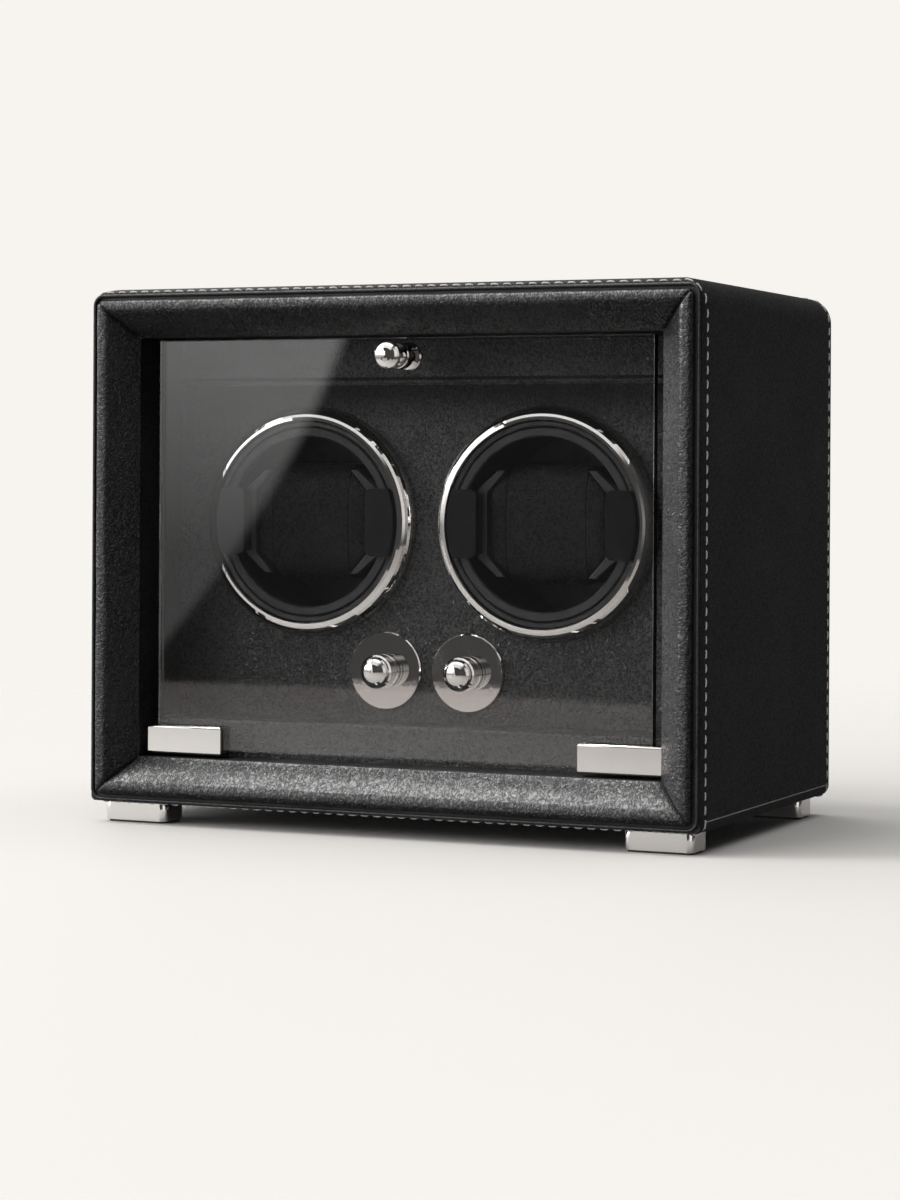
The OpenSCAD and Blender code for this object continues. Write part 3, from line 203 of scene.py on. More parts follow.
# Stage, in metres
PAPER = (0.930, 0.905, 0.863)
FLOOR_R = 1.7
FLOOR_RINGS = 24
FLOOR_SIDES = 96
FLOOR_COLOUR = (0.755, 0.736, 0.710)
FLOOR_FADE_FROM = 0.30
FLOOR_FADE_TO = 1.0
FLOOR_MIRROR_CENTRE = (-0.4, 0.0, 0.0)
FLOOR_MIRROR_NEAR = 0.68
FLOOR_MIRROR_FAR = 0.80
FLOOR_MIRROR_DIM = 0.35
FLOOR_MIRROR_TINT = (0.66, 0.595, 0.56)
FLOOR_DIM_FROM = 0.3
FLOOR_WARM_FROM = 0.45
FLOOR_TOOTH_SCALE = 900.0
FLOOR_ROUGHNESS = (0.57, 0.63)

# The room as leather, plastic and the floor see it: an even level and soft boxes. A box has limits of
# azimuth, counted from the front towards the left, and of elevation, each with the half-width of its
# soft edge, and the light it adds. A round box goes all the way round, whatever its azimuths say.
SOFT_ROOM = (0.045, 0.045, 0.046)
SOFT_BOXES = [
    ("round", 0.0, 360.0, 1.0, 56.0, 95.0, 9.0, (1.65, 1.64, 1.63)),
    ("straight", 12.0, 80.0, 10.0, 14.0, 62.0, 9.0, (2.3, 2.28, 2.26)),
    ("straight", 60.0, 150.0, 12.0, -6.0, 60.0, 10.0, (1.0, 0.998, 0.995)),
    ("straight", -6.0, 60.0, 14.0, -10.0, 30.0, 10.0, (0.95, 0.95, 0.95)),
    ("straight", -175.0, -125.0, 10.0, -30.0, 40.0, 10.0, (0.05, 0.05, 0.05)),
]

# The room as glass and polished plate see it. The slanted box is a tall window with a leaning edge,
# whose light grows with elevation.
SHARP_ROOM = (0.075, 0.074, 0.073)
SHARP_BOXES = [
    ("slanted", 27.35, 115.0, 0.2, -8.0, 48.0, 3.0, (2.7, 2.68, 2.65)),
    ("round", 0.0, 360.0, 1.0, 48.0, 95.0, 6.0, (1.7, 1.69, 1.67)),
    ("straight", -14.0, 58.0, 6.0, 26.0, 52.0, 5.0, (1.3, 1.29, 1.28)),
    ("straight", -70.0, -26.0, 7.0, -8.0, 46.0, 8.0, (1.1, 1.06, 1.03)),
]
# The window's edge: its lean and curve within the span of elevation, its lean above the span, and the
# share of its light at two elevations
WINDOW_TILT = 0.55
WINDOW_CURVE = -0.04
WINDOW_SPAN = 8.0
WINDOW_LEAN = 0.8
WINDOW_LOW = (-1.5, 0.17)
WINDOW_HIGH = (6.5, 1.0)

# Distant lamps: name, azimuth, elevation, strength, spread and colour
LAMPS = [
    ("top_lamp", 66.0, 64.0, 0.5, 10.0, (1.0, 0.995, 0.985)),
    ("left_lamp", 62.0, 12.0, 0.5, 10.0, (1.0, 0.995, 0.99)),
]


# ---- Small helpers ----

def at(x, depth, z):
    """A point in metres from a width, a depth behind the front seam and a height in millimetres."""
    return Vector((x * MM, (WELT_Y + depth) * MM, z * MM))


def arc(cx, cy, r, a0, a1, steps):
    """Points on an arc from angle a0 to a1, in degrees."""
    points = []
    for i in range(steps + 1):
        a = math.radians(a0 + (a1 - a0) * i / steps)
        points.append((cx + r * math.cos(a), cy + r * math.sin(a)))
    return points


def tube_faces(rings, sides):
    """Faces of a tube closed at both ends, whose points come ring by ring."""
    faces = []
    for i in range(rings - 1):
        for k in range(sides):
            a = i * sides + k
            b = i * sides + (k + 1) % sides
            faces.append((a, b, b + sides, a + sides))
    faces.append(tuple(range(sides)))
    faces.append(tuple(range((rings - 1) * sides, rings * sides)))
    return faces


def new_object(name, data):
    """A new object in the scene."""
    item = bpy.data.objects.new(name, data)
    bpy.context.scene.collection.objects.link(item)
    return item


def make_piece(name, verts, faces, material, body):
    """A smooth-shaded mesh piece that rides on a body."""
    mesh = bpy.data.meshes.new(name)
    mesh.from_pydata(verts, [], faces)
    mesh.polygons.foreach_set("use_smooth", [True] * len(mesh.polygons))
    mesh.materials.append(material)
    mesh.update()
    piece = new_object(name, mesh)
    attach(piece, body)
    return piece


def face_outwards(piece):
    """Turns the piece's faces to point outwards."""
    bm = bmesh.new()
    bm.from_mesh(piece.data)
    bmesh.ops.recalc_face_normals(bm, faces=bm.faces)
    bm.to_mesh(piece.data)
    bm.free()


# ---- Material helpers ----

def add(tree, kind, inputs=None, **props):
    """Adds a node. An input is a value, or a socket to link from."""
    node = tree.nodes.new(kind)
    for key, value in props.items():
        setattr(node, key, value)
    for key, value in (inputs or {}).items():
        if isinstance(value, bpy.types.NodeSocket):
            tree.links.new(value, node.inputs[key])
        else:
            node.inputs[key].default_value = value
    return node


def new_material(name, colour, roughness, metallic=0.0, **sockets):
    """A material, its tree and its Principled shader with the constant values set."""
    material = bpy.data.materials.new(name)
    material.use_nodes = True
    material.diffuse_color = (*colour, 1.0)
    tree = material.node_tree
    shader = tree.nodes["Principled BSDF"]
    shader.inputs["Base Color"].default_value = (*colour, 1.0)
    shader.inputs["Roughness"].default_value = roughness
    shader.inputs["Metallic"].default_value = metallic
    for key, value in sockets.items():
        shader.inputs[key.replace("_", " ")].default_value = value
    return material, tree, shader


def stretched_evenly(tree, vector, scale):
    """A vector scaled by one factor, which is a value or a socket."""
    return add(tree, "ShaderNodeVectorMath", {0: vector, "Scale": scale},
               operation="SCALE").outputs["Vector"]


def millimetres(tree):
    """The piece's own coordinates in millimetres."""
    return stretched_evenly(tree, add(tree, "ShaderNodeTexCoord").outputs["Object"], 1.0 / MM)


def stretched(tree, vector, scale):
    """A vector with each direction scaled by its own factor."""
    return add(tree, "ShaderNodeVectorMath", {0: vector, 1: scale}, operation="MULTIPLY").outputs["Vector"]


def noise_of(tree, vector, scale, detail=2.0, rough=0.5):
    """A noise texture node."""
    return add(tree, "ShaderNodeTexNoise", {"Vector": vector, "Scale": scale, "Detail": detail,
                                            "Roughness": rough})


def remap(tree, value, low, high, to_low, to_high, smooth=True):
    """A value carried from one range to another, and held at its ends."""
    return add(tree, "ShaderNodeMapRange",
               {"Value": value, "From Min": low, "From Max": high, "To Min": to_low, "To Max": to_high},
               interpolation_type="SMOOTHSTEP" if smooth else "LINEAR").outputs["Result"]


def vary(tree, fac, low, high):
    """A noise carried to a range of values."""
    return remap(tree, fac, NOISE_RANGE[0], NOISE_RANGE[1], low, high)


def maths(tree, operation, a, b=0.0):
    """The result of one maths node."""
    return add(tree, "ShaderNodeMath", {0: a, 1: b}, operation=operation).outputs["Value"]


def blend_colours(tree, factor, a, b):
    """Colour a where the factor is 0 and b where it is 1. Each is a colour or a socket."""
    node = add(tree, "ShaderNodeMix", data_type="RGBA")
    tree.links.new(factor, node.inputs["Factor"])
    for socket, value in ((node.inputs[6], a), (node.inputs[7], b)):
        if isinstance(value, bpy.types.NodeSocket):
            tree.links.new(value, socket)
        else:
            socket.default_value = (*value, 1.0)
    return node.outputs[2]


def shade(colour, gain):
    """A colour made darker or lighter."""
    return tuple(c * gain for c in colour)


def see_through(tree, shader, factor, colour):
    """Makes the surface clear, in a colour, as far as a factor says."""
    clear = add(tree, "ShaderNodeBsdfTransparent", {"Color": (*colour, 1.0)})
    mix = add(tree, "ShaderNodeMixShader", {0: factor, 1: shader.outputs["BSDF"], 2: clear.outputs["BSDF"]})
    tree.links.new(mix.outputs["Shader"], tree.nodes["Material Output"].inputs["Surface"])


def bump(tree, shader, height, depth_mm, strength=1.0):
    """Bends the shader's normal by a height."""
    node = add(tree, "ShaderNodeBump", {"Height": height, "Distance": depth_mm * MM, "Strength": strength})
    tree.links.new(node.outputs["Normal"], shader.inputs["Normal"])


# ---- Materials ----

def leather(name, colour, roughness, cell_mm, depth_mm, creases=(1.0, 1.0, 1.0), crease_share=0.35,
            shine=0.12, seam=None, painted_shade=None, gloss=0.5):
    """Grained leather: warped creases that can run one way, small pebbles, fine pores and soft wear. Where
    the grain, a seam or a channel lies low the leather is painted darker, and where it is raised it is
    painted lighter: painted shade and light by height. The creases shine less than the rest. A seam changes
    the height, and the painted-shade function gives the share of shine that is kept where shade is painted."""
    material, tree, shader = new_material(name, colour, roughness, Specular_IOR_Level=gloss,
                                          Coat_Weight=shine, Coat_Roughness=0.3)
    mm = millimetres(tree)
    warp = noise_of(tree, mm, WARP_SCALE)
    warp_vector = add(tree, "ShaderNodeVectorMath", {0: warp.outputs["Color"], 1: (0.5, 0.5, 0.5)},
                      operation="SUBTRACT").outputs["Vector"]
    warp_scaled = stretched_evenly(tree, warp_vector, WARP_IN_CELLS * cell_mm)
    place = add(tree, "ShaderNodeVectorMath", {0: mm, 1: warp_scaled}, operation="ADD").outputs["Vector"]
    grain_place = stretched(tree, place, creases)
    cells = add(tree, "ShaderNodeTexVoronoi", {"Vector": grain_place, "Scale": 1.0 / cell_mm},
                feature="SMOOTH_F1")
    pebbles = remap(tree, cells.outputs["Distance"], PEBBLE_EDGES[0], PEBBLE_EDGES[1], 1.0, 0.0)
    pores = noise_of(tree, mm, PORE_SCALE, 1.0).outputs["Fac"]
    crease_noise = noise_of(tree, grain_place, 1.0 / cell_mm, 1.0).outputs["Fac"]
    ridge = maths(tree, "ABSOLUTE", maths(tree, "SUBTRACT", crease_noise, 0.5))
    crease = remap(tree, ridge, 0.0, CREASE_WIDTH, 0.0, 1.0)
    height = maths(tree, "MULTIPLY", pebbles, PEBBLE_SHARE)
    height = maths(tree, "ADD", height, maths(tree, "MULTIPLY", pores, PORE_SHARE))
    height = maths(tree, "ADD", height, maths(tree, "MULTIPLY", crease, crease_share))
    if seam is not None:
        height = maths(tree, "ADD", height, seam(tree, mm))
    patches = noise_of(tree, mm, WEAR_SCALE, 3.0).outputs["Fac"]
    # Painted shade and light: darker where the grain, seams and channels lie low, lighter where the grain is
    # raised.
    raised = remap(tree, height, PAINTED_SHADE_HEIGHTS[0], PAINTED_SHADE_HEIGHTS[1], 0.0, 1.0)
    tone = blend_colours(tree, raised, shade(colour, PAINTED_SHADE_GAINS[0]), shade(colour, PAINTED_SHADE_GAINS[1]))
    wear = remap(tree, patches, WEAR_EDGES[0], WEAR_EDGES[1], 0.0, 1.0)
    worn = blend_colours(tree, wear, tone, shade(colour, WEAR_GAIN))
    tree.links.new(worn, shader.inputs["Base Color"])
    rough = remap(tree, height, ROUGH_HEIGHTS[0], ROUGH_HEIGHTS[1],
                  roughness + ROUGH_CHANGES[0], roughness + ROUGH_CHANGES[1])
    rough = maths(tree, "ADD", rough, vary(tree, patches, -0.04, 0.05))
    tree.links.new(rough, shader.inputs["Roughness"])
    shining = remap(tree, ridge, 0.0, CREASE_SHINE_WIDTH, CREASE_SHINE, OPEN_SHINE)
    # Painted shade: the shine is lessened where a shade function is given.
    if painted_shade is not None:
        shining = maths(tree, "MULTIPLY", shining, painted_shade(tree, mm))
    tree.links.new(maths(tree, "MULTIPLY", shining, gloss), shader.inputs["Specular IOR Level"])
    tree.links.new(maths(tree, "MULTIPLY", shining, shine), shader.inputs["Coat Weight"])
    bump(tree, shader, height, depth_mm)
    return material


def stitch_channels(tree, mm):
    """The shallow channels that the stitch rows lie in, as a change of height, which also paints them darker
    as painted shade.
    """
    parts = add(tree, "ShaderNodeSeparateXYZ", {"Vector": mm}).outputs
    front_row = remap(tree, parts["Z"], TOP_ROW_FROM_Z, CASE_TOP,
                      WELT_Y + FRONT_ROW_DEPTH, WELT_Y + TOP_ROW_DEPTH)
    from_front = maths(tree, "ABSOLUTE", maths(tree, "SUBTRACT", parts["Y"], front_row))
    from_rear = maths(tree, "ABSOLUTE", maths(tree, "SUBTRACT", parts["Y"], WELT_Y + REAR_ROW_DEPTH))
    from_row = maths(tree, "MINIMUM", from_front, from_rear)
    channel = remap(tree, from_row, 0.0, STITCH_CHANNEL[0], STITCH_CHANNEL[1], 0.0)
    hem = maths(tree, "ABSOLUTE", maths(tree, "SUBTRACT", parts["Z"], HEM_Z))
    return maths(tree, "ADD", channel, remap(tree, hem, 0.0, HEM_CHANNEL[0], HEM_CHANNEL[1], 0.0))


def header_shade(tree, mm):
    """How much of its shine the panel keeps, as painted shade: little at the turned edge of the header strip
    and under it, where the strip's shadow falls.
    """
    z = add(tree, "ShaderNodeSeparateXYZ", {"Vector": mm}).outputs["Z"]
    fade = remap(tree, z, HEADER_BOTTOM - HEADER_SHADE, HEADER_BOTTOM - HEADER_SHADE_FULL,
                 0.0, HEADER_SHADE_SHARE)
    below = maths(tree, "LESS_THAN", z, HEADER_BOTTOM - HEADER_SHADE_END)
    under = maths(tree, "MULTIPLY", fade, below)
    edge = maths(tree, "ABSOLUTE", maths(tree, "SUBTRACT", z, HEADER_BOTTOM + HEADER_TURN_AT))
    turned = remap(tree, edge, HEADER_TURN[0], HEADER_TURN[1], HEADER_TURN_SHARE, 0.0)
    return maths(tree, "SUBTRACT", 1.0, maths(tree, "MAXIMUM", under, turned))


def cushion_seams(tree, mm):
    """The sewn lines down both sides of each cushion, as a change of height, which also paints them darker
    as painted shade.
    """
    parts = add(tree, "ShaderNodeSeparateXYZ", {"Vector": mm}).outputs
    across = maths(tree, "SUBTRACT", maths(tree, "ABSOLUTE", parts["X"]), WINDER_X)
    from_centre = maths(tree, "ABSOLUTE", across)
    away = maths(tree, "ABSOLUTE", maths(tree, "SUBTRACT", from_centre, CUSHION_SEAM_X))
    return remap(tree, away, 0.0, CUSHION_SEAM[0], CUSHION_SEAM[1], 0.0)


def chrome(name, colour):
    """Polished plate: a clean mirror with a slow ripple."""
    material, tree, shader = new_material(name, colour, 0.0, 1.0)
    mm = millimetres(tree)
    haze = noise_of(tree, mm, 0.12, 4.0).outputs["Fac"]
    tone = blend_colours(tree, haze, shade(colour, 0.95), shade(colour, 1.04))
    tree.links.new(tone, shader.inputs["Base Color"])
    bump(tree, shader, noise_of(tree, mm, 0.35, 1.0).outputs["Fac"], 0.02, 0.15)
    return material


def moulded(name, colour, roughness, texture_mm=0.02, coat=0.0, gloss=0.5):
    """Moulded plastic with a fine spark texture and slight changes of gloss."""
    material, tree, shader = new_material(name, colour, roughness, Specular_IOR_Level=gloss,
                                          Coat_Weight=coat, Coat_Roughness=0.06)
    mm = millimetres(tree)
    spark = noise_of(tree, mm, 4.5, 3.0, 0.65).outputs["Fac"]
    drift = noise_of(tree, mm, 0.08, 3.0).outputs["Fac"]
    tone = blend_colours(tree, drift, shade(colour, 0.85), shade(colour, 1.2))
    tree.links.new(tone, shader.inputs["Base Color"])
    rough = maths(tree, "ADD", vary(tree, spark, roughness * 0.9, roughness * 1.12),
                  vary(tree, drift, -0.02, 0.03))
    tree.links.new(rough, shader.inputs["Roughness"])
    bump(tree, shader, spark, texture_mm)
    return material


def brushed(name, colour, roughness, direction=(0.15, 3.0, 3.0)):
    """Plated or machined metal with fine lines."""
    material, tree, shader = new_material(name, colour, roughness, 1.0)
    mm = millimetres(tree)
    lines = noise_of(tree, stretched(tree, mm, direction), 1.6, 4.0, 0.7).outputs["Fac"]
    stains = noise_of(tree, mm, 0.15, 3.0).outputs["Fac"]
    tree.links.new(blend_colours(tree, stains, shade(colour, 0.8), shade(colour, 1.05)),
                   shader.inputs["Base Color"])
    rough = vary(tree, lines, roughness * 0.75, roughness * 1.3)
    tree.links.new(rough, shader.inputs["Roughness"])
    bump(tree, shader, lines, 0.012)
    return material


def board_wood(name, light, dark, roughness):
    """Sawn board with long grain along its width."""
    material, tree, shader = new_material(name, light, roughness)
    mm = millimetres(tree)
    grain_place = stretched(tree, mm, (0.05, 1.0, 1.0))
    rings = add(tree, "ShaderNodeTexWave", {"Vector": grain_place, "Scale": 0.35, "Distortion": 6.0,
                                            "Detail": 3.0, "Detail Scale": 0.8}, wave_type="RINGS")
    fibres = noise_of(tree, grain_place, 3.0, 3.0).outputs["Fac"]
    tone = blend_colours(tree, remap(tree, rings.outputs["Fac"], 0.2, 0.9, 0.0, 1.0), light, dark)
    tree.links.new(blend_colours(tree, remap(tree, fibres, 0.4, 0.7, 0.0, 0.6), tone, dark),
                   shader.inputs["Base Color"])
    rough = vary(tree, fibres, roughness - 0.06, roughness + 0.1)
    tree.links.new(rough, shader.inputs["Roughness"])
    bump(tree, shader, fibres, 0.05)
    return material


def rubber_material(name, colour, roughness):
    """Black rubber with a little dust."""
    material, tree, shader = new_material(name, colour, roughness)
    mm = millimetres(tree)
    dust = noise_of(tree, mm, 0.6, 4.0).outputs["Fac"]
    tree.links.new(blend_colours(tree, remap(tree, dust, 0.4, 0.75, 0.0, 1.0), colour, shade(colour, 1.8)),
                   shader.inputs["Base Color"])
    rough = vary(tree, dust, roughness - 0.05, roughness + 0.08)
    tree.links.new(rough, shader.inputs["Roughness"])
    bump(tree, shader, noise_of(tree, mm, 3.0, 2.0).outputs["Fac"], 0.03)
    return material


def circuit_material(name, colour):
    """Lacquered board with copper tracks under the lacquer."""
    material, tree, shader = new_material(name, colour, 0.28, Coat_Weight=0.4, Coat_Roughness=0.1)
    mm = millimetres(tree)
    tracks = add(tree, "ShaderNodeTexBrick", {"Vector": mm, "Scale": 0.25,
                                              "Mortar Size": 0.03, "Mortar Smooth": 0.2,
                                              "Brick Width": 1.4, "Row Height": 0.5}).outputs["Fac"]
    tree.links.new(blend_colours(tree, tracks, colour, (0.05, 0.24, 0.09)), shader.inputs["Base Color"])
    tree.links.new(remap(tree, tracks, 0.0, 1.0, 0.3, 0.2), shader.inputs["Roughness"])
    bump(tree, shader, tracks, 0.03)
    return material


def thread_material(name, colour):
    """Waxed sewing thread with its twist."""
    material, tree, shader = new_material(name, colour, 0.55, Sheen_Weight=0.25, Sheen_Roughness=0.4)
    mm = millimetres(tree)
    twist = add(tree, "ShaderNodeTexWave", {"Vector": mm, "Scale": 1.6, "Distortion": 1.0, "Detail": 1.0},
                wave_type="BANDS", bands_direction="DIAGONAL").outputs["Fac"]
    soil = noise_of(tree, mm, 0.08, 3.0).outputs["Fac"]
    tone = blend_colours(tree, twist, shade(colour, 0.72), colour)
    tree.links.new(blend_colours(tree, remap(tree, soil, 0.4, 0.75, 0.0, 0.5), tone, shade(colour, 0.6)),
                   shader.inputs["Base Color"])
    bump(tree, shader, twist, 0.05)
    return material


def glass_material(name):
    """Clear float glass. Light passes it on its way to the recess."""
    material, tree, shader = new_material(name, (0.98, 0.98, 0.98), 0.0, Transmission_Weight=1.0, IOR=1.5)
    mm = millimetres(tree)
    smear = noise_of(tree, mm, 0.03, 4.0, 0.6).outputs["Fac"]
    tree.links.new(blend_colours(tree, smear, (0.978, 0.977, 0.976), (0.986, 0.985, 0.984)),
                   shader.inputs["Base Color"])
    shadow_ray = add(tree, "ShaderNodeLightPath").outputs["Is Shadow Ray"]
    see_through(tree, shader, shadow_ray, (0.93, 0.94, 0.935))
    return material


def make_materials():
    """One material for each of the record's slots, and those of single pieces."""
    black = (0.0105, 0.0103, 0.0106)
    return {
        "wood_board": board_wood("sawn_board", (0.55, 0.42, 0.28), (0.38, 0.26, 0.15), 0.62),
        # The black board is the back panel's own colour and, on the frame backer, painted shade in the seam
        # between bead and rail.
        "black_board": board_wood("black_board_and_seam_shade", (0.022, 0.021, 0.021), (0.012, 0.012, 0.012), 0.55),
        "black_leather": leather("smooth_leather", black, 0.46, 1.1, 0.05, crease_share=0.15),
        "welt_leather": leather("welt_leather", (0.02, 0.02, 0.021), 0.36, 0.9, 0.06, shine=0.4),
        "wrap_leather": leather("case_leather", black, 0.46, 1.1, 0.12, crease_share=0.15, shine=0.3,
                                seam=stitch_channels),
        "panel_leather": leather("panel_leather", (0.0115, 0.0112, 0.0116), 0.34, 1.5, 0.5, crease_share=0.6,
                                 shine=0.3, painted_shade=header_shade),
        "padded_leather": leather("rail_leather", (0.010, 0.0098, 0.0101), 0.33, 1.5, 0.5,
                                  creases=(1.25, 0.8, 0.5), crease_share=0.7, shine=0.8),
        "side_rail_leather": leather("side_rail_leather", (0.011, 0.0108, 0.0111), 0.33, 1.35, 0.5,
                                     creases=(0.5, 0.8, 1.25), crease_share=0.7, shine=0.8),
        # The cushion leather is darker and less shiny than the case leather: partly its own black, partly
        # painted shade of the deep cups.
        "cushion_leather": leather("cushion_leather", (0.0065, 0.0063, 0.0065), 0.44, 1.3, 0.35,
                                   crease_share=0.5, shine=0.05, seam=cushion_seams, gloss=0.16),
        "chrome": chrome("chrome_plate", (0.645, 0.632, 0.62)),
        "glass": glass_material("clear_glass"),
        "black_plastic": moulded("black_plastic", (0.012, 0.012, 0.0125), 0.3),
        "gloss_black": moulded("gloss_black", (0.004, 0.004, 0.0043), 0.2, 0.0008, coat=0.2, gloss=0.22),
        "grey_plastic": moulded("grey_plastic", (0.022, 0.022, 0.0232), 0.42, gloss=0.3),
        "white_nylon": moulded("white_nylon", (0.78, 0.77, 0.71), 0.42),
        "rubber": rubber_material("black_rubber", (0.018, 0.018, 0.018), 0.7),
        "steel": brushed("zinc_steel", (0.60, 0.60, 0.61), 0.3),
        "brass": brushed("machined_brass", (0.70, 0.52, 0.24), 0.27, (3.0, 0.15, 3.0)),
        "circuit_green": circuit_material("circuit_green", (0.015, 0.13, 0.05)),
        "lead_sheath": moulded("lead_sheath", (0.22, 0.02, 0.02), 0.45),
        "thread": thread_material("stitch_thread", (0.60, 0.59, 0.57)),
    }


# ---- CAD nodes ----

# Nodes whose material isn't that of their slot
MATERIAL_OF_NODE = {
    "leather_wrap": "wrap_leather",
    "inner_panel": "panel_leather",
    "header_strip": "panel_leather",
    "sill": "panel_leather",
    "recess_liner": "black_leather",
    "front_welt": "welt_leather",
    # The frame backer gets the black board so that the seam between bead and rail, where it shows, is dark:
    # painted shade.
    "frame_backer": "black_board",
}

# Widths of the small rounded edges that some nodes get, in millimetres
EDGE_ROUNDS = {
    "front_left_foot": 0.5, "front_right_foot": 0.5, "rear_left_foot": 0.5, "rear_right_foot": 0.5,
    "left_hinge_clip": 0.75, "right_hinge_clip": 0.75,
    "left_holder": 0.5, "right_holder": 0.5,
    "left_grips": 0.7, "right_grips": 0.7,
    "header_strip": 0.5, "sill": 0.8, "glass_pane": 0.25, "back_panel": 0.4,
}


def dress_nodes(materials):
    """Gives every CAD node its material, and rounded edges to those that have them."""
    slot_of = {part["node"]: part["material_slot"] for part in frame["record"]["subparts"]}
    for name, node in frame["nodes"].items():
        key = MATERIAL_OF_NODE.get(name, slot_of[name])
        node.data.materials.clear()
        node.data.materials.append(materials[key])
        for face in node.data.polygons:
            face.material_index = 0
        if name in EDGE_ROUNDS:
            weld = node.modifiers.new("weld", "WELD")
            weld.merge_threshold = WELD_DISTANCE * MM
            rounding = node.modifiers.new("edges", "BEVEL")
            rounding.width = EDGE_ROUNDS[name] * MM
            rounding.segments = EDGE_SEGMENTS
            rounding.limit_method = "ANGLE"
            rounding.angle_limit = math.radians(EDGE_ANGLE_DEG)
            rounding.harden_normals = True


# ---- Padded rails ----

def rail_outline():
    """The rail's skin and the back of its padding as (distance in, depth), with outward normals."""
    bevel = math.radians(BEVEL_DEG)
    bend_end = BEND_R * (1 - math.cos(bevel)) - CREST_H
    bend_u = RAIL_W - (FRAME_BACK - bend_end) / math.tan(bevel) - BEND_R * math.sin(bevel)
    skin = [(RAIL_TUCK, RAIL_SEAT)]
    skin += arc(ROLL_R, ROLL_R - CREST_H, ROLL_R, 180, 270, ROLL_STEPS)
    skin = [(u + RAIL_TUCK * max(0.0, 1 - k / TUCK_STEPS) ** 2, depth) for k, (u, depth) in enumerate(skin)]
    skin += arc(bend_u, BEND_R - CREST_H, BEND_R, 270, 270 + BEVEL_DEG, BEND_STEPS)
    start = skin[-1]
    for i in range(1, RAIL_BEVEL_STEPS + 1):
        t = i / RAIL_BEVEL_STEPS
        skin.append((start[0] + (RAIL_W - start[0]) * t, start[1] + (FRAME_BACK - start[1]) * t))
    lining = [(RAIL_W - PAD_T / math.sin(bevel), FRAME_BACK)]
    bend = arc(bend_u, BEND_R - CREST_H, BEND_R - PAD_T, 270, 270 + BEVEL_DEG, LINING_STEPS)
    roll = arc(ROLL_R, ROLL_R - CREST_H, ROLL_R - PAD_T, 180, 270, LINING_STEPS)
    lining += bend[::-1] + roll[::-1]
    lining += [(PAD_T, RAIL_SEAT)]
    normals = []
    for i in range(len(skin)):
        a = skin[max(i - 1, 0)]
        b = skin[min(i + 1, len(skin) - 1)]
        du, dd = b[0] - a[0], b[1] - a[1]
        size = math.hypot(du, dd)
        normals.append((dd / size, -du / size))
    return skin, lining, normals


def pushed(point, normal, lift):
    """A section point moved out along its normal."""
    return point[0] + normal[0] * lift, point[1] + normal[1] * lift


def padded_rail(edge, material):
    """One padded rail with a slightly uneven crown, drawn in where it is sewn at its mitres."""
    level = edge in ("top", "bottom")
    half = RAIL_X if level else (RAIL_TOP - RAIL_BOTTOM) / 2
    skin, lining, normals = rail_outline()
    columns = rail_columns(half)
    seed = RAIL_SEEDS[edge]
    last = len(skin) - 1
    verts = []
    for kind, value in columns:
        for k, point in enumerate(skin + lining):
            along = along_rail(kind, value, half - point[0] - MITRE_GAP)
            if k <= last:
                from_mitre = half - point[0] - MITRE_GAP - abs(along)
                lift = rail_lift(k, last, along, from_mitre, seed)
                point = pushed(point, normals[k], lift)
                along = along_rail(kind, value, half - point[0] - MITRE_GAP)
            verts.append(on_rail(edge, point, along))
    faces = tube_faces(len(columns), len(skin) + len(lining))
    piece = make_piece(edge + "_padded_rail", verts, faces, material, "case")
    face_outwards(piece)
    sharpen(piece, RAIL_SHARP_DEG)
    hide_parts(edge + "_rail")


def rail_columns(half):
    """Stations along a rail, set closer together near its mitres."""
    margin = RAIL_STATIONS[-1]
    count = int(2 * (half - RAIL_W - margin) / RAIL_PITCH)
    middle = [("middle", (i / count, margin)) for i in range(1, count)]
    return [("start", v) for v in RAIL_STATIONS] + middle + [("end", v) for v in reversed(RAIL_STATIONS)]


def along_rail(kind, value, reach):
    """The place along a rail of one of its stations, for a section point that reaches so far each way."""
    if kind == "start":
        return value - reach
    if kind == "end":
        return reach - value
    share, margin = value
    return (reach - margin) * (2 * share - 1)


def rail_lift(k, last, along, from_mitre, seed):
    """How far the leather stands out at section point k: crown, unevenness and pull of the mitre seam."""
    bevel_from = last - RAIL_BEVEL_STEPS
    crown = 0.0
    if k > bevel_from:
        crown = RAIL_CROWN * math.sin(math.pi * (k - bevel_from) / RAIL_BEVEL_STEPS)
    wave = Vector((along * RAIL_UNEVEN_SCALE[0], k * RAIL_UNEVEN_SCALE[1], seed))
    ripple = Vector((along * RAIL_RIPPLE_SCALE[0], k * RAIL_RIPPLE_SCALE[1], seed + RAIL_RIPPLE_SEED))
    uneven = RAIL_UNEVEN * noise.noise(wave) - RAIL_SETTLE
    uneven += RAIL_RIPPLE * noise.noise(ripple)
    sewn = -MITRE_PULL[0] * math.exp(-(from_mitre / MITRE_PULL[1]) ** 2)
    sewn -= MITRE_DRAW[0] * math.exp(-(from_mitre / MITRE_DRAW[1]) ** 2)
    inside = min(1.0, k / RAIL_HELD_POINTS[0], (last - k) / RAIL_HELD_POINTS[1])
    return (crown + uneven) * inside + sewn * (RAIL_HELD_SHARE[0] + RAIL_HELD_SHARE[1] * inside)


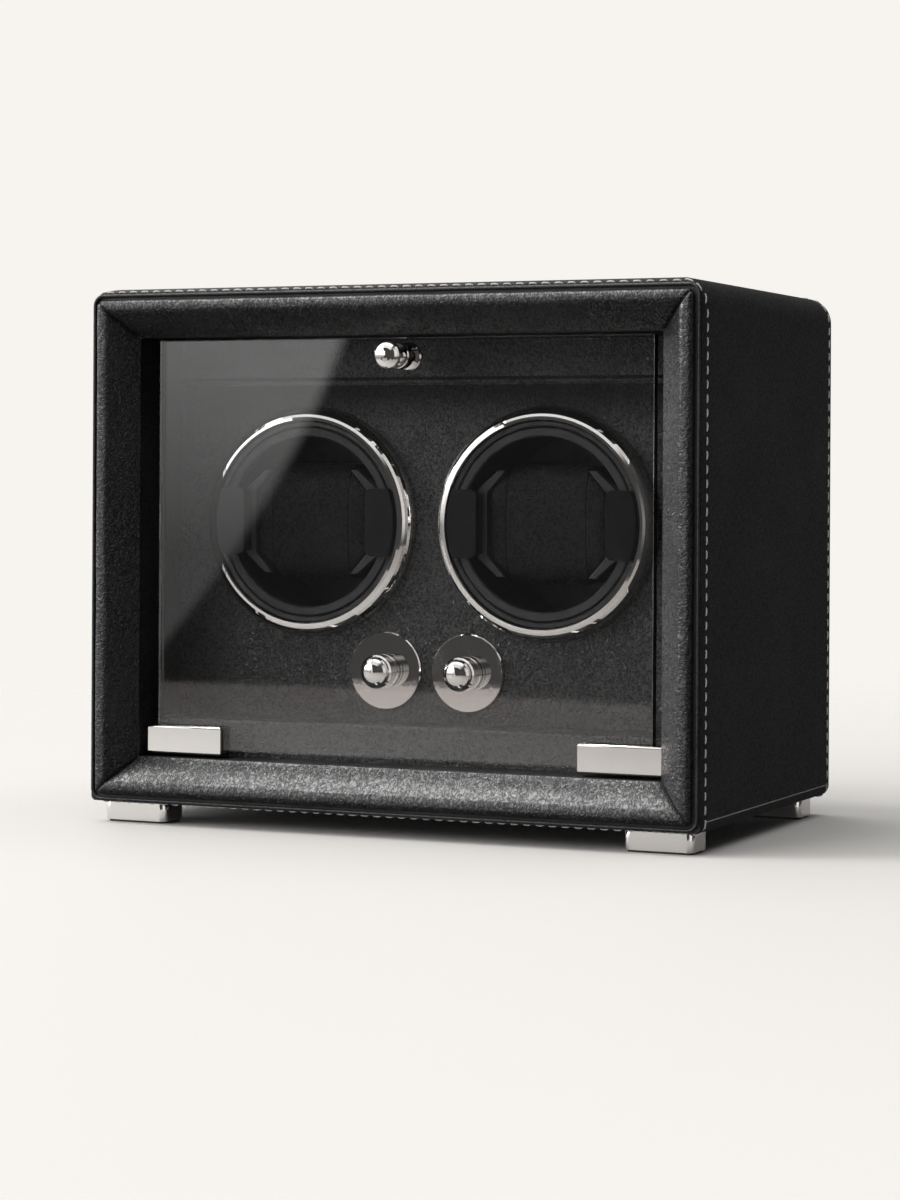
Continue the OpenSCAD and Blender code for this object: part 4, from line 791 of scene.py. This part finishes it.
def on_rail(edge, point, along):
    """A section point (distance in, depth) of one rail at a place along it, as a point in metres.
    At the frame's corners it is drawn in to their radius."""
    u, depth = point
    middle = (RAIL_TOP + RAIL_BOTTOM) / 2
    x, z = {
        "top": (along, RAIL_TOP - u),
        "bottom": (along, RAIL_BOTTOM + u),
        "left": (u - RAIL_X, middle + along),
        "right": (RAIL_X - u, middle + along),
    }[edge]
    past_x = abs(x) - (RAIL_X - RAIL_CORNER_R)
    past_z = abs(z - middle) - (RAIL_TOP - middle - RAIL_CORNER_R)
    if past_x > 0 and past_z > 0:
        shrink = max(past_x, past_z) / math.hypot(past_x, past_z)
        x = math.copysign(RAIL_X - RAIL_CORNER_R + past_x * shrink, x)
        z = middle + math.copysign(RAIL_TOP - middle - RAIL_CORNER_R + past_z * shrink, z - middle)
    return at(x, depth, z)


def sharpen(piece, degrees):
    """Keeps edges that bend more than an angle sharp in the shading."""
    bm = bmesh.new()
    bm.from_mesh(piece.data)
    limit = math.radians(degrees)
    for edge in bm.edges:
        if len(edge.link_faces) == 2 and edge.calc_face_angle() > limit:
            edge.smooth = False
    bm.to_mesh(piece.data)
    bm.free()


# ---- Winder cushions ----

def evaluated_mesh(piece):
    """The piece's mesh with its modifiers applied, as a new mesh."""
    graph = bpy.context.evaluated_depsgraph_get()
    return bpy.data.meshes.new_from_object(piece.evaluated_get(graph), depsgraph=graph)


def bake_modifiers(piece):
    """Replaces the piece's mesh by what its modifiers make of it."""
    mesh = evaluated_mesh(piece)
    piece.modifiers.clear()
    piece.data = mesh


def vertex_places(mesh):
    """The mesh's vertices as an array of rows."""
    places = np.empty(len(mesh.vertices) * 3)
    mesh.vertices.foreach_get("co", places)
    return places.reshape(-1, 3)


def inflate(piece, centre_x):
    """Blows the cushion up with cloth pressure and keeps each point's movement up to CUSHION_RISE. The
    pocket at its back stays as it is."""
    scene = bpy.context.scene
    before = vertex_places(piece.data)
    cloth = piece.modifiers.new("stuffing", "CLOTH")
    cloth.settings.quality = 5
    cloth.settings.mass = CUSHION_MASS
    cloth.settings.use_pressure = True
    cloth.settings.uniform_pressure_force = CUSHION_PRESSURE
    cloth.settings.tension_stiffness = 12
    cloth.settings.compression_stiffness = 8
    cloth.settings.bending_stiffness = 0.4
    cloth.settings.effector_weights.gravity = 0.0
    cloth.point_cache.frame_start = 1
    cloth.point_cache.frame_end = CUSHION_FRAMES
    for number in range(1, CUSHION_FRAMES + 1):
        scene.frame_set(number)
    mesh = evaluated_mesh(piece)
    after = vertex_places(mesh)
    scene.frame_set(1)
    piece.modifiers.clear()
    move = after - before
    size = np.linalg.norm(move, axis=1, keepdims=True)
    move *= np.minimum(1.0, CUSHION_RISE / np.maximum(size, 1e-9))
    radius = np.hypot(before[:, 0] - centre_x * MM, before[:, 2] - WINDER_Z * MM)
    depth = before[:, 1] / MM - WELT_Y
    in_pocket = (depth > CUSHION_POCKET_DEPTH) & (radius < CUSHION_POCKET_R * MM)
    move[in_pocket] = 0.0
    piece.data.vertices.foreach_set("co", (before + move).ravel())
    piece.data.update()


def padded_cushion(side, material):
    """The leather cushion that carries a watch, from the CAD cushion, filled out and sewn down its sides."""
    node = frame["nodes"][side + "_cushion"]
    centre_x = -WINDER_X if side == "left" else WINDER_X
    piece = new_object(side + "_leather_cushion", node.data.copy())
    remesh = piece.modifiers.new("even", "REMESH")
    remesh.mode = "VOXEL"
    remesh.voxel_size = CUSHION_VOXEL
    bake_modifiers(piece)
    inflate(piece, centre_x)
    soften = piece.modifiers.new("soften", "SMOOTH")
    soften.factor = 0.5
    soften.iterations = 3
    bake_modifiers(piece)
    wrinkle_cushion(piece)
    finer = piece.modifiers.new("finer", "SUBSURF")
    finer.levels = 1
    finer.render_levels = 1
    piece.data.materials.clear()
    piece.data.materials.append(material)
    piece.data.polygons.foreach_set("use_smooth", [True] * len(piece.data.polygons))
    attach(piece, side + "_watch_holder")
    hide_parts(side + "_cushion")


def wrinkle_cushion(piece):
    """Soft gathers all over the leather."""
    places = vertex_places(piece.data)
    normals = np.empty(len(places) * 3)
    piece.data.vertices.foreach_get("normal", normals)
    normals = normals.reshape(-1, 3)
    for i, place in enumerate(places):
        spot = Vector(place) * (1.0 / MM)
        ripple = noise.noise(Vector([c * scale for c, scale in zip(spot, CUSHION_GATHER_SCALE)]))
        places[i] += normals[i] * (CUSHION_GATHER * ripple - CUSHION_SINK) * MM
    piece.data.vertices.foreach_set("co", places.ravel())
    piece.data.update()


# ---- Stitching ----

def row_depth(z, depth, top_depth):
    """The depth of a stitch row, which runs nearer the front across the top."""
    t = min(max((z - TOP_ROW_FROM_Z) / (CASE_TOP - TOP_ROW_FROM_Z), 0.0), 1.0)
    return depth + (top_depth - depth) * t * t * (3 - 2 * t)


def row_outline():
    """Points (x, z) close together round the outside of the case."""
    corners = [
        (-CASE_X + ROW_FOOT_R, CASE_BOTTOM + ROW_FOOT_R, ROW_FOOT_R, 180, 270),
        (CASE_X - ROW_FOOT_R, CASE_BOTTOM + ROW_FOOT_R, ROW_FOOT_R, 270, 360),
        (CASE_X - ROW_CORNER_R, CASE_TOP - ROW_CORNER_R, ROW_CORNER_R, 0, 90),
        (-CASE_X + ROW_CORNER_R, CASE_TOP - ROW_CORNER_R, ROW_CORNER_R, 90, 180),
    ]
    dense = []
    for i, (cx, cz, r, a0, a1) in enumerate(corners):
        dense += arc(cx, cz, r, a0, a1, ROW_ARC_STEPS)
        next_x, next_z, next_r, next_a, _ = corners[(i + 1) % 4]
        start = dense[-1]
        end = arc(next_x, next_z, next_r, next_a, next_a, 1)[0]
        count = int(math.dist(start, end) / ROW_STEP)
        for k in range(1, count):
            t = k / count
            dense.append((start[0] + (end[0] - start[0]) * t, start[1] + (end[1] - start[1]) * t))
    return dense


def stations(points, pitch):
    """Places and directions at an even pitch round a closed line of points."""
    loop = points + points[:1]
    lengths = [math.dist(a, b) for a, b in zip(loop, loop[1:])]
    total = sum(lengths)
    count = round(total / pitch)
    out = []
    travelled = 0.0
    i = 0
    for n in range(count):
        target = (n + 0.5) * total / count
        while travelled + lengths[i] < target:
            travelled += lengths[i]
            i += 1
        t = (target - travelled) / lengths[i]
        a, b = loop[i], loop[i + 1]
        place = tuple(p + (q - p) * t for p, q in zip(a, b))
        along = tuple((q - p) / lengths[i] for p, q in zip(a, b))
        out.append((place, along))
    return out


def stitch_verts(centre, along, out, length, radius, jitter):
    """One stitch: a short plump thread whose ends go down into the leather."""
    side = along.cross(out).normalized()
    verts = []
    for i in range(STITCH_RINGS):
        t = 2 * i / (STITCH_RINGS - 1) - 1
        width = radius * math.sqrt(max(1 - STITCH_TAPER * t ** 4, STITCH_THINNEST))
        width *= 1 + STITCH_WIDTH_JITTER * jitter
        rise = radius * (STITCH_RISE - STITCH_DIP * t ** 4)
        skew = radius * STITCH_SKEW * t * (1 + jitter)
        middle = centre + along * (t * length / 2) + out * rise + side * skew
        for k in range(STITCH_SIDES):
            a = 2 * math.pi * k / STITCH_SIDES
            across = side * (width * math.cos(a))
            verts.append(middle + across + out * (width * STITCH_FLATNESS * math.sin(a)))
    return verts, tube_faces(STITCH_RINGS, STITCH_SIDES)


def stitch_row(name, places, length, radius, material):
    """A row of stitches, from (point, direction along, direction out) of each."""
    verts = []
    faces = []
    for n, (point, along, out) in enumerate(places):
        jitter = noise.noise(Vector((n * STITCH_JITTER_STEP, *STITCH_JITTER_SEED)))
        length_here = length * (1 + STITCH_LENGTH_JITTER * jitter)
        more, loops = stitch_verts(point, along, out, length_here * MM, radius * MM, jitter)
        faces += [tuple(v + len(verts) for v in loop) for loop in loops]
        verts += more
    face_outwards(make_piece(name, verts, faces, material, "case"))


def laid_on(skin, point, out):
    """The place on the leather under a point, looking in against out, and its normal there."""
    spot, normal, _, _ = skin.ray_cast(point + out * (STITCH_RAY_FROM * MM), -out)
    return spot, normal


def round_the_case(skin, depth, top_depth, pitch):
    """Stitch places round the case, laid on its leather."""
    places = []
    for (x, z), (ax, az) in stations(row_outline(), pitch):
        out = Vector((az, 0.0, -ax))
        spot, normal = laid_on(skin, at(x, row_depth(z, depth, top_depth), z), out)
        places.append((spot, Vector((ax, 0.0, az)), normal))
    return places


def hem_row(skin, side):
    """Fine stitch places along the lower edge of one side of the case."""
    out = Vector((-1.0 if side == "left" else 1.0, 0.0, 0.0))
    places = []
    start = FRONT_ROW_DEPTH + HEM_FROM_ROWS
    stop = REAR_ROW_DEPTH - HEM_FROM_ROWS
    count = round((stop - start) / HEM_PITCH)
    for n in range(count):
        depth = start + (n + 0.5) * (stop - start) / count
        spot, normal = laid_on(skin, at(out.x * CASE_X, depth, HEM_Z), out)
        places.append((spot, Vector((0.0, 1.0, 0.0)), normal))
    return places


def stitching(material):
    """All the rows of stitches, laid on the leather of the case."""
    skin = BVHTree.FromObject(frame["nodes"]["leather_wrap"], bpy.context.evaluated_depsgraph_get())
    front = round_the_case(skin, FRONT_ROW_DEPTH, TOP_ROW_DEPTH, STITCH_PITCH)
    rear = round_the_case(skin, REAR_ROW_DEPTH, REAR_ROW_DEPTH, STITCH_PITCH)
    stitch_row("front_stitches", front, STITCH_L, STITCH_R, material)
    stitch_row("rear_stitches", rear, STITCH_L, STITCH_R, material)
    for side in ("left", "right"):
        stitch_row(side + "_hem_stitches", hem_row(skin, side), HEM_STITCH_L, HEM_STITCH_R, material)


# ---- Stage ----

def floor_disc():
    """A pale floor that fades into the backdrop well away from the box."""
    sides = FLOOR_SIDES
    verts = [(0.0, 0.0, 0.0)]
    for i in range(1, FLOOR_RINGS + 1):
        r = FLOOR_R * i / FLOOR_RINGS
        for k in range(sides):
            a = 2 * math.pi * k / sides
            verts.append((r * math.cos(a), r * math.sin(a), 0.0))
    faces = [(0, 1 + k, 1 + (k + 1) % sides) for k in range(sides)]
    for i in range(FLOOR_RINGS - 1):
        for k in range(sides):
            a = 1 + i * sides + k
            b = 1 + i * sides + (k + 1) % sides
            faces.append((a, a + sides, b + sides, b))
    mesh = bpy.data.meshes.new("floor")
    mesh.from_pydata(verts, [], faces)
    mesh.materials.append(floor_material())
    disc = new_object("floor", mesh)


def floor_material():
    """Pale paper. The camera sees it fade out into the backdrop. Polished pieces see only the part round a
    place left of the box, warmer towards its edge. Blurred reflections don't see it at all."""
    material, tree, shader = new_material("floor_paper", FLOOR_COLOUR, 0.6, Specular_IOR_Level=0.2)
    place = add(tree, "ShaderNodeTexCoord").outputs["Object"]
    radius = add(tree, "ShaderNodeVectorMath", {0: place}, operation="LENGTH").outputs["Value"]
    path = add(tree, "ShaderNodeLightPath")
    tooth = noise_of(tree, place, FLOOR_TOOTH_SCALE).outputs["Fac"]
    tree.links.new(vary(tree, tooth, *FLOOR_ROUGHNESS), shader.inputs["Roughness"])
    seen_fade = remap(tree, radius, FLOOR_FADE_FROM, FLOOR_FADE_TO, 0.0, 1.0)
    from_centre = add(tree, "ShaderNodeVectorMath", {0: place, 1: FLOOR_MIRROR_CENTRE},
                      operation="DISTANCE").outputs["Value"]
    dimming = remap(tree, from_centre, FLOOR_DIM_FROM, FLOOR_MIRROR_NEAR, 0.0, FLOOR_MIRROR_DIM)
    mirror_end = remap(tree, from_centre, FLOOR_MIRROR_NEAR, FLOOR_MIRROR_FAR, 0.0, 1.0)
    mirror_fade = maths(tree, "MAXIMUM", dimming, mirror_end)
    blurred = maths(tree, "SUBTRACT", 1.0, path.outputs["Is Singular Ray"])
    reflected = maths(tree, "GREATER_THAN", path.outputs["Glossy Depth"], 0.5)
    seen = maths(tree, "MULTIPLY", path.outputs["Is Camera Ray"], seen_fade)
    mirrored = maths(tree, "MULTIPLY", reflected, maths(tree, "MAXIMUM", blurred, mirror_fade))
    far = remap(tree, from_centre, FLOOR_WARM_FROM, FLOOR_MIRROR_NEAR, 0.0, 1.0)
    warm = maths(tree, "MULTIPLY", reflected, far)
    tree.links.new(blend_colours(tree, warm, FLOOR_COLOUR, FLOOR_MIRROR_TINT), shader.inputs["Base Color"])
    see_through(tree, shader, maths(tree, "MAXIMUM", seen, mirrored), (1.0, 1.0, 1.0))
    return material


def band(tree, value, low, high, soft):
    """1 between two limits, falling softly to 0 outside them."""
    rise = remap(tree, value, low - soft, low + soft, 0.0, 1.0)
    fall = remap(tree, value, high - soft, high + soft, 1.0, 0.0)
    return maths(tree, "MULTIPLY", rise, fall)


def colour_vector(tree, colour):
    """A colour as a vector, to be scaled and added up."""
    return add(tree, "ShaderNodeCombineXYZ", {0: colour[0], 1: colour[1], 2: colour[2]}).outputs["Vector"]


def room_light(tree, azimuth, elevation, level, boxes):
    """The light of a room with an even level and soft boxes."""
    clamped = add(tree, "ShaderNodeClamp", {"Value": elevation, "Min": -WINDOW_SPAN, "Max": WINDOW_SPAN})
    height = clamped.outputs["Result"]
    tilt = maths(tree, "ADD", maths(tree, "MULTIPLY", height, WINDOW_CURVE), WINDOW_TILT)
    slanted = maths(tree, "ADD", azimuth, maths(tree, "MULTIPLY", height, tilt))
    above = maths(tree, "MAXIMUM", maths(tree, "SUBTRACT", elevation, WINDOW_SPAN), 0.0)
    slanted = maths(tree, "SUBTRACT", slanted, maths(tree, "MULTIPLY", above, WINDOW_LEAN))
    window = remap(tree, elevation, WINDOW_LOW[0], WINDOW_HIGH[0], WINDOW_LOW[1], WINDOW_HIGH[1],
                   smooth=False)
    total = colour_vector(tree, level)
    for kind, az0, az1, az_soft, el0, el1, el_soft, colour in boxes:
        mask = band(tree, elevation, el0, el1, el_soft)
        if kind == "straight":
            mask = maths(tree, "MULTIPLY", mask, band(tree, azimuth, az0, az1, az_soft))
        if kind == "slanted":
            mask = maths(tree, "MULTIPLY", mask, band(tree, slanted, az0, az1, az_soft))
            mask = maths(tree, "MULTIPLY", mask, window)
        lit = stretched_evenly(tree, colour_vector(tree, colour), mask)
        total = add(tree, "ShaderNodeVectorMath", {0: total, 1: lit}, operation="ADD").outputs["Vector"]
    return total


def studio():
    """Plain paper for the camera, also through the glass. Mirror-like pieces see the sharp room and all
    else the soft one. Directions count from the front towards the left, and upwards."""
    world = bpy.data.worlds.new("studio")
    bpy.context.scene.world = world
    world.use_nodes = True
    tree = world.node_tree
    background = tree.nodes["Background"]
    direction = add(tree, "ShaderNodeTexCoord").outputs["Generated"]
    parts = add(tree, "ShaderNodeSeparateXYZ", {"Vector": direction}).outputs
    to_left = maths(tree, "MULTIPLY", parts["X"], -1.0)
    to_front = maths(tree, "MULTIPLY", parts["Y"], -1.0)
    azimuth = maths(tree, "DEGREES", maths(tree, "ARCTAN2", to_left, to_front))
    elevation = maths(tree, "DEGREES", maths(tree, "ARCSINE", parts["Z"]))
    soft = room_light(tree, azimuth, elevation, SOFT_ROOM, SOFT_BOXES)
    sharp = room_light(tree, azimuth, elevation, SHARP_ROOM, SHARP_BOXES)
    path = add(tree, "ShaderNodeLightPath")
    bounced = maths(tree, "ADD", path.outputs["Diffuse Depth"], path.outputs["Glossy Depth"])
    straight_on = maths(tree, "LESS_THAN", bounced, 0.5)
    through_glass = maths(tree, "MULTIPLY", path.outputs["Is Transmission Ray"], straight_on)
    seen = maths(tree, "MAXIMUM", path.outputs["Is Camera Ray"], through_glass)
    lit = blend_colours(tree, path.outputs["Is Singular Ray"], soft, sharp)
    tree.links.new(blend_colours(tree, seen, lit, PAPER), background.inputs["Color"])


def lamp(name, azimuth, elevation, strength, spread, colour):
    """A distant soft lamp. Azimuth is counted from the front towards the left."""
    data = bpy.data.lights.new(name, "SUN")
    data.energy = strength
    data.angle = math.radians(spread)
    data.color = colour
    a = math.radians(azimuth)
    e = math.radians(elevation)
    source = Vector((-math.sin(a) * math.cos(e), -math.cos(a) * math.cos(e), math.sin(e)))
    light = new_object(name, data)
    light.rotation_mode = "QUATERNION"
    light.rotation_quaternion = source.to_track_quat("Z", "Y")


def camera():
    """The photo's viewpoint: level, a little rolled, with the view shifted down."""
    data = bpy.data.cameras.new("camera")
    data.lens = CAMERA_LENS
    data.sensor_width = CAMERA_SENSOR
    data.shift_y = CAMERA_SHIFT_Y
    data.clip_start = CAMERA_CLIP[0]
    data.clip_end = CAMERA_CLIP[1]
    data.dof.use_dof = False
    a = math.radians(CAMERA_AZIMUTH)
    roll = math.radians(CAMERA_ROLL)
    forward = Vector((-math.sin(a), math.cos(a), 0.0))
    level_up = Vector((0.0, 0.0, 1.0))
    level_right = forward.cross(level_up)
    right = level_right * math.cos(roll) + level_up * math.sin(roll)
    up = level_up * math.cos(roll) - level_right * math.sin(roll)
    turn = Matrix((right, up, -forward)).transposed()
    cam = new_object("camera", data)
    cam.matrix_world = Matrix.Translation(Vector(CAMERA_AT) * MM) @ turn.to_4x4()
    bpy.context.scene.camera = cam


# ---- Build ----

materials = make_materials()
dress_nodes(materials)
for edge in ("top", "bottom"):
    padded_rail(edge, materials["padded_leather"])
for edge in ("left", "right"):
    padded_rail(edge, materials["side_rail_leather"])
for side in ("left", "right"):
    padded_cushion(side, materials["cushion_leather"])
stitching(materials["thread"])
floor_disc()
studio()
for settings in LAMPS:
    lamp(*settings)
camera()
scene = bpy.context.scene
scene.view_settings.view_transform = "Standard"
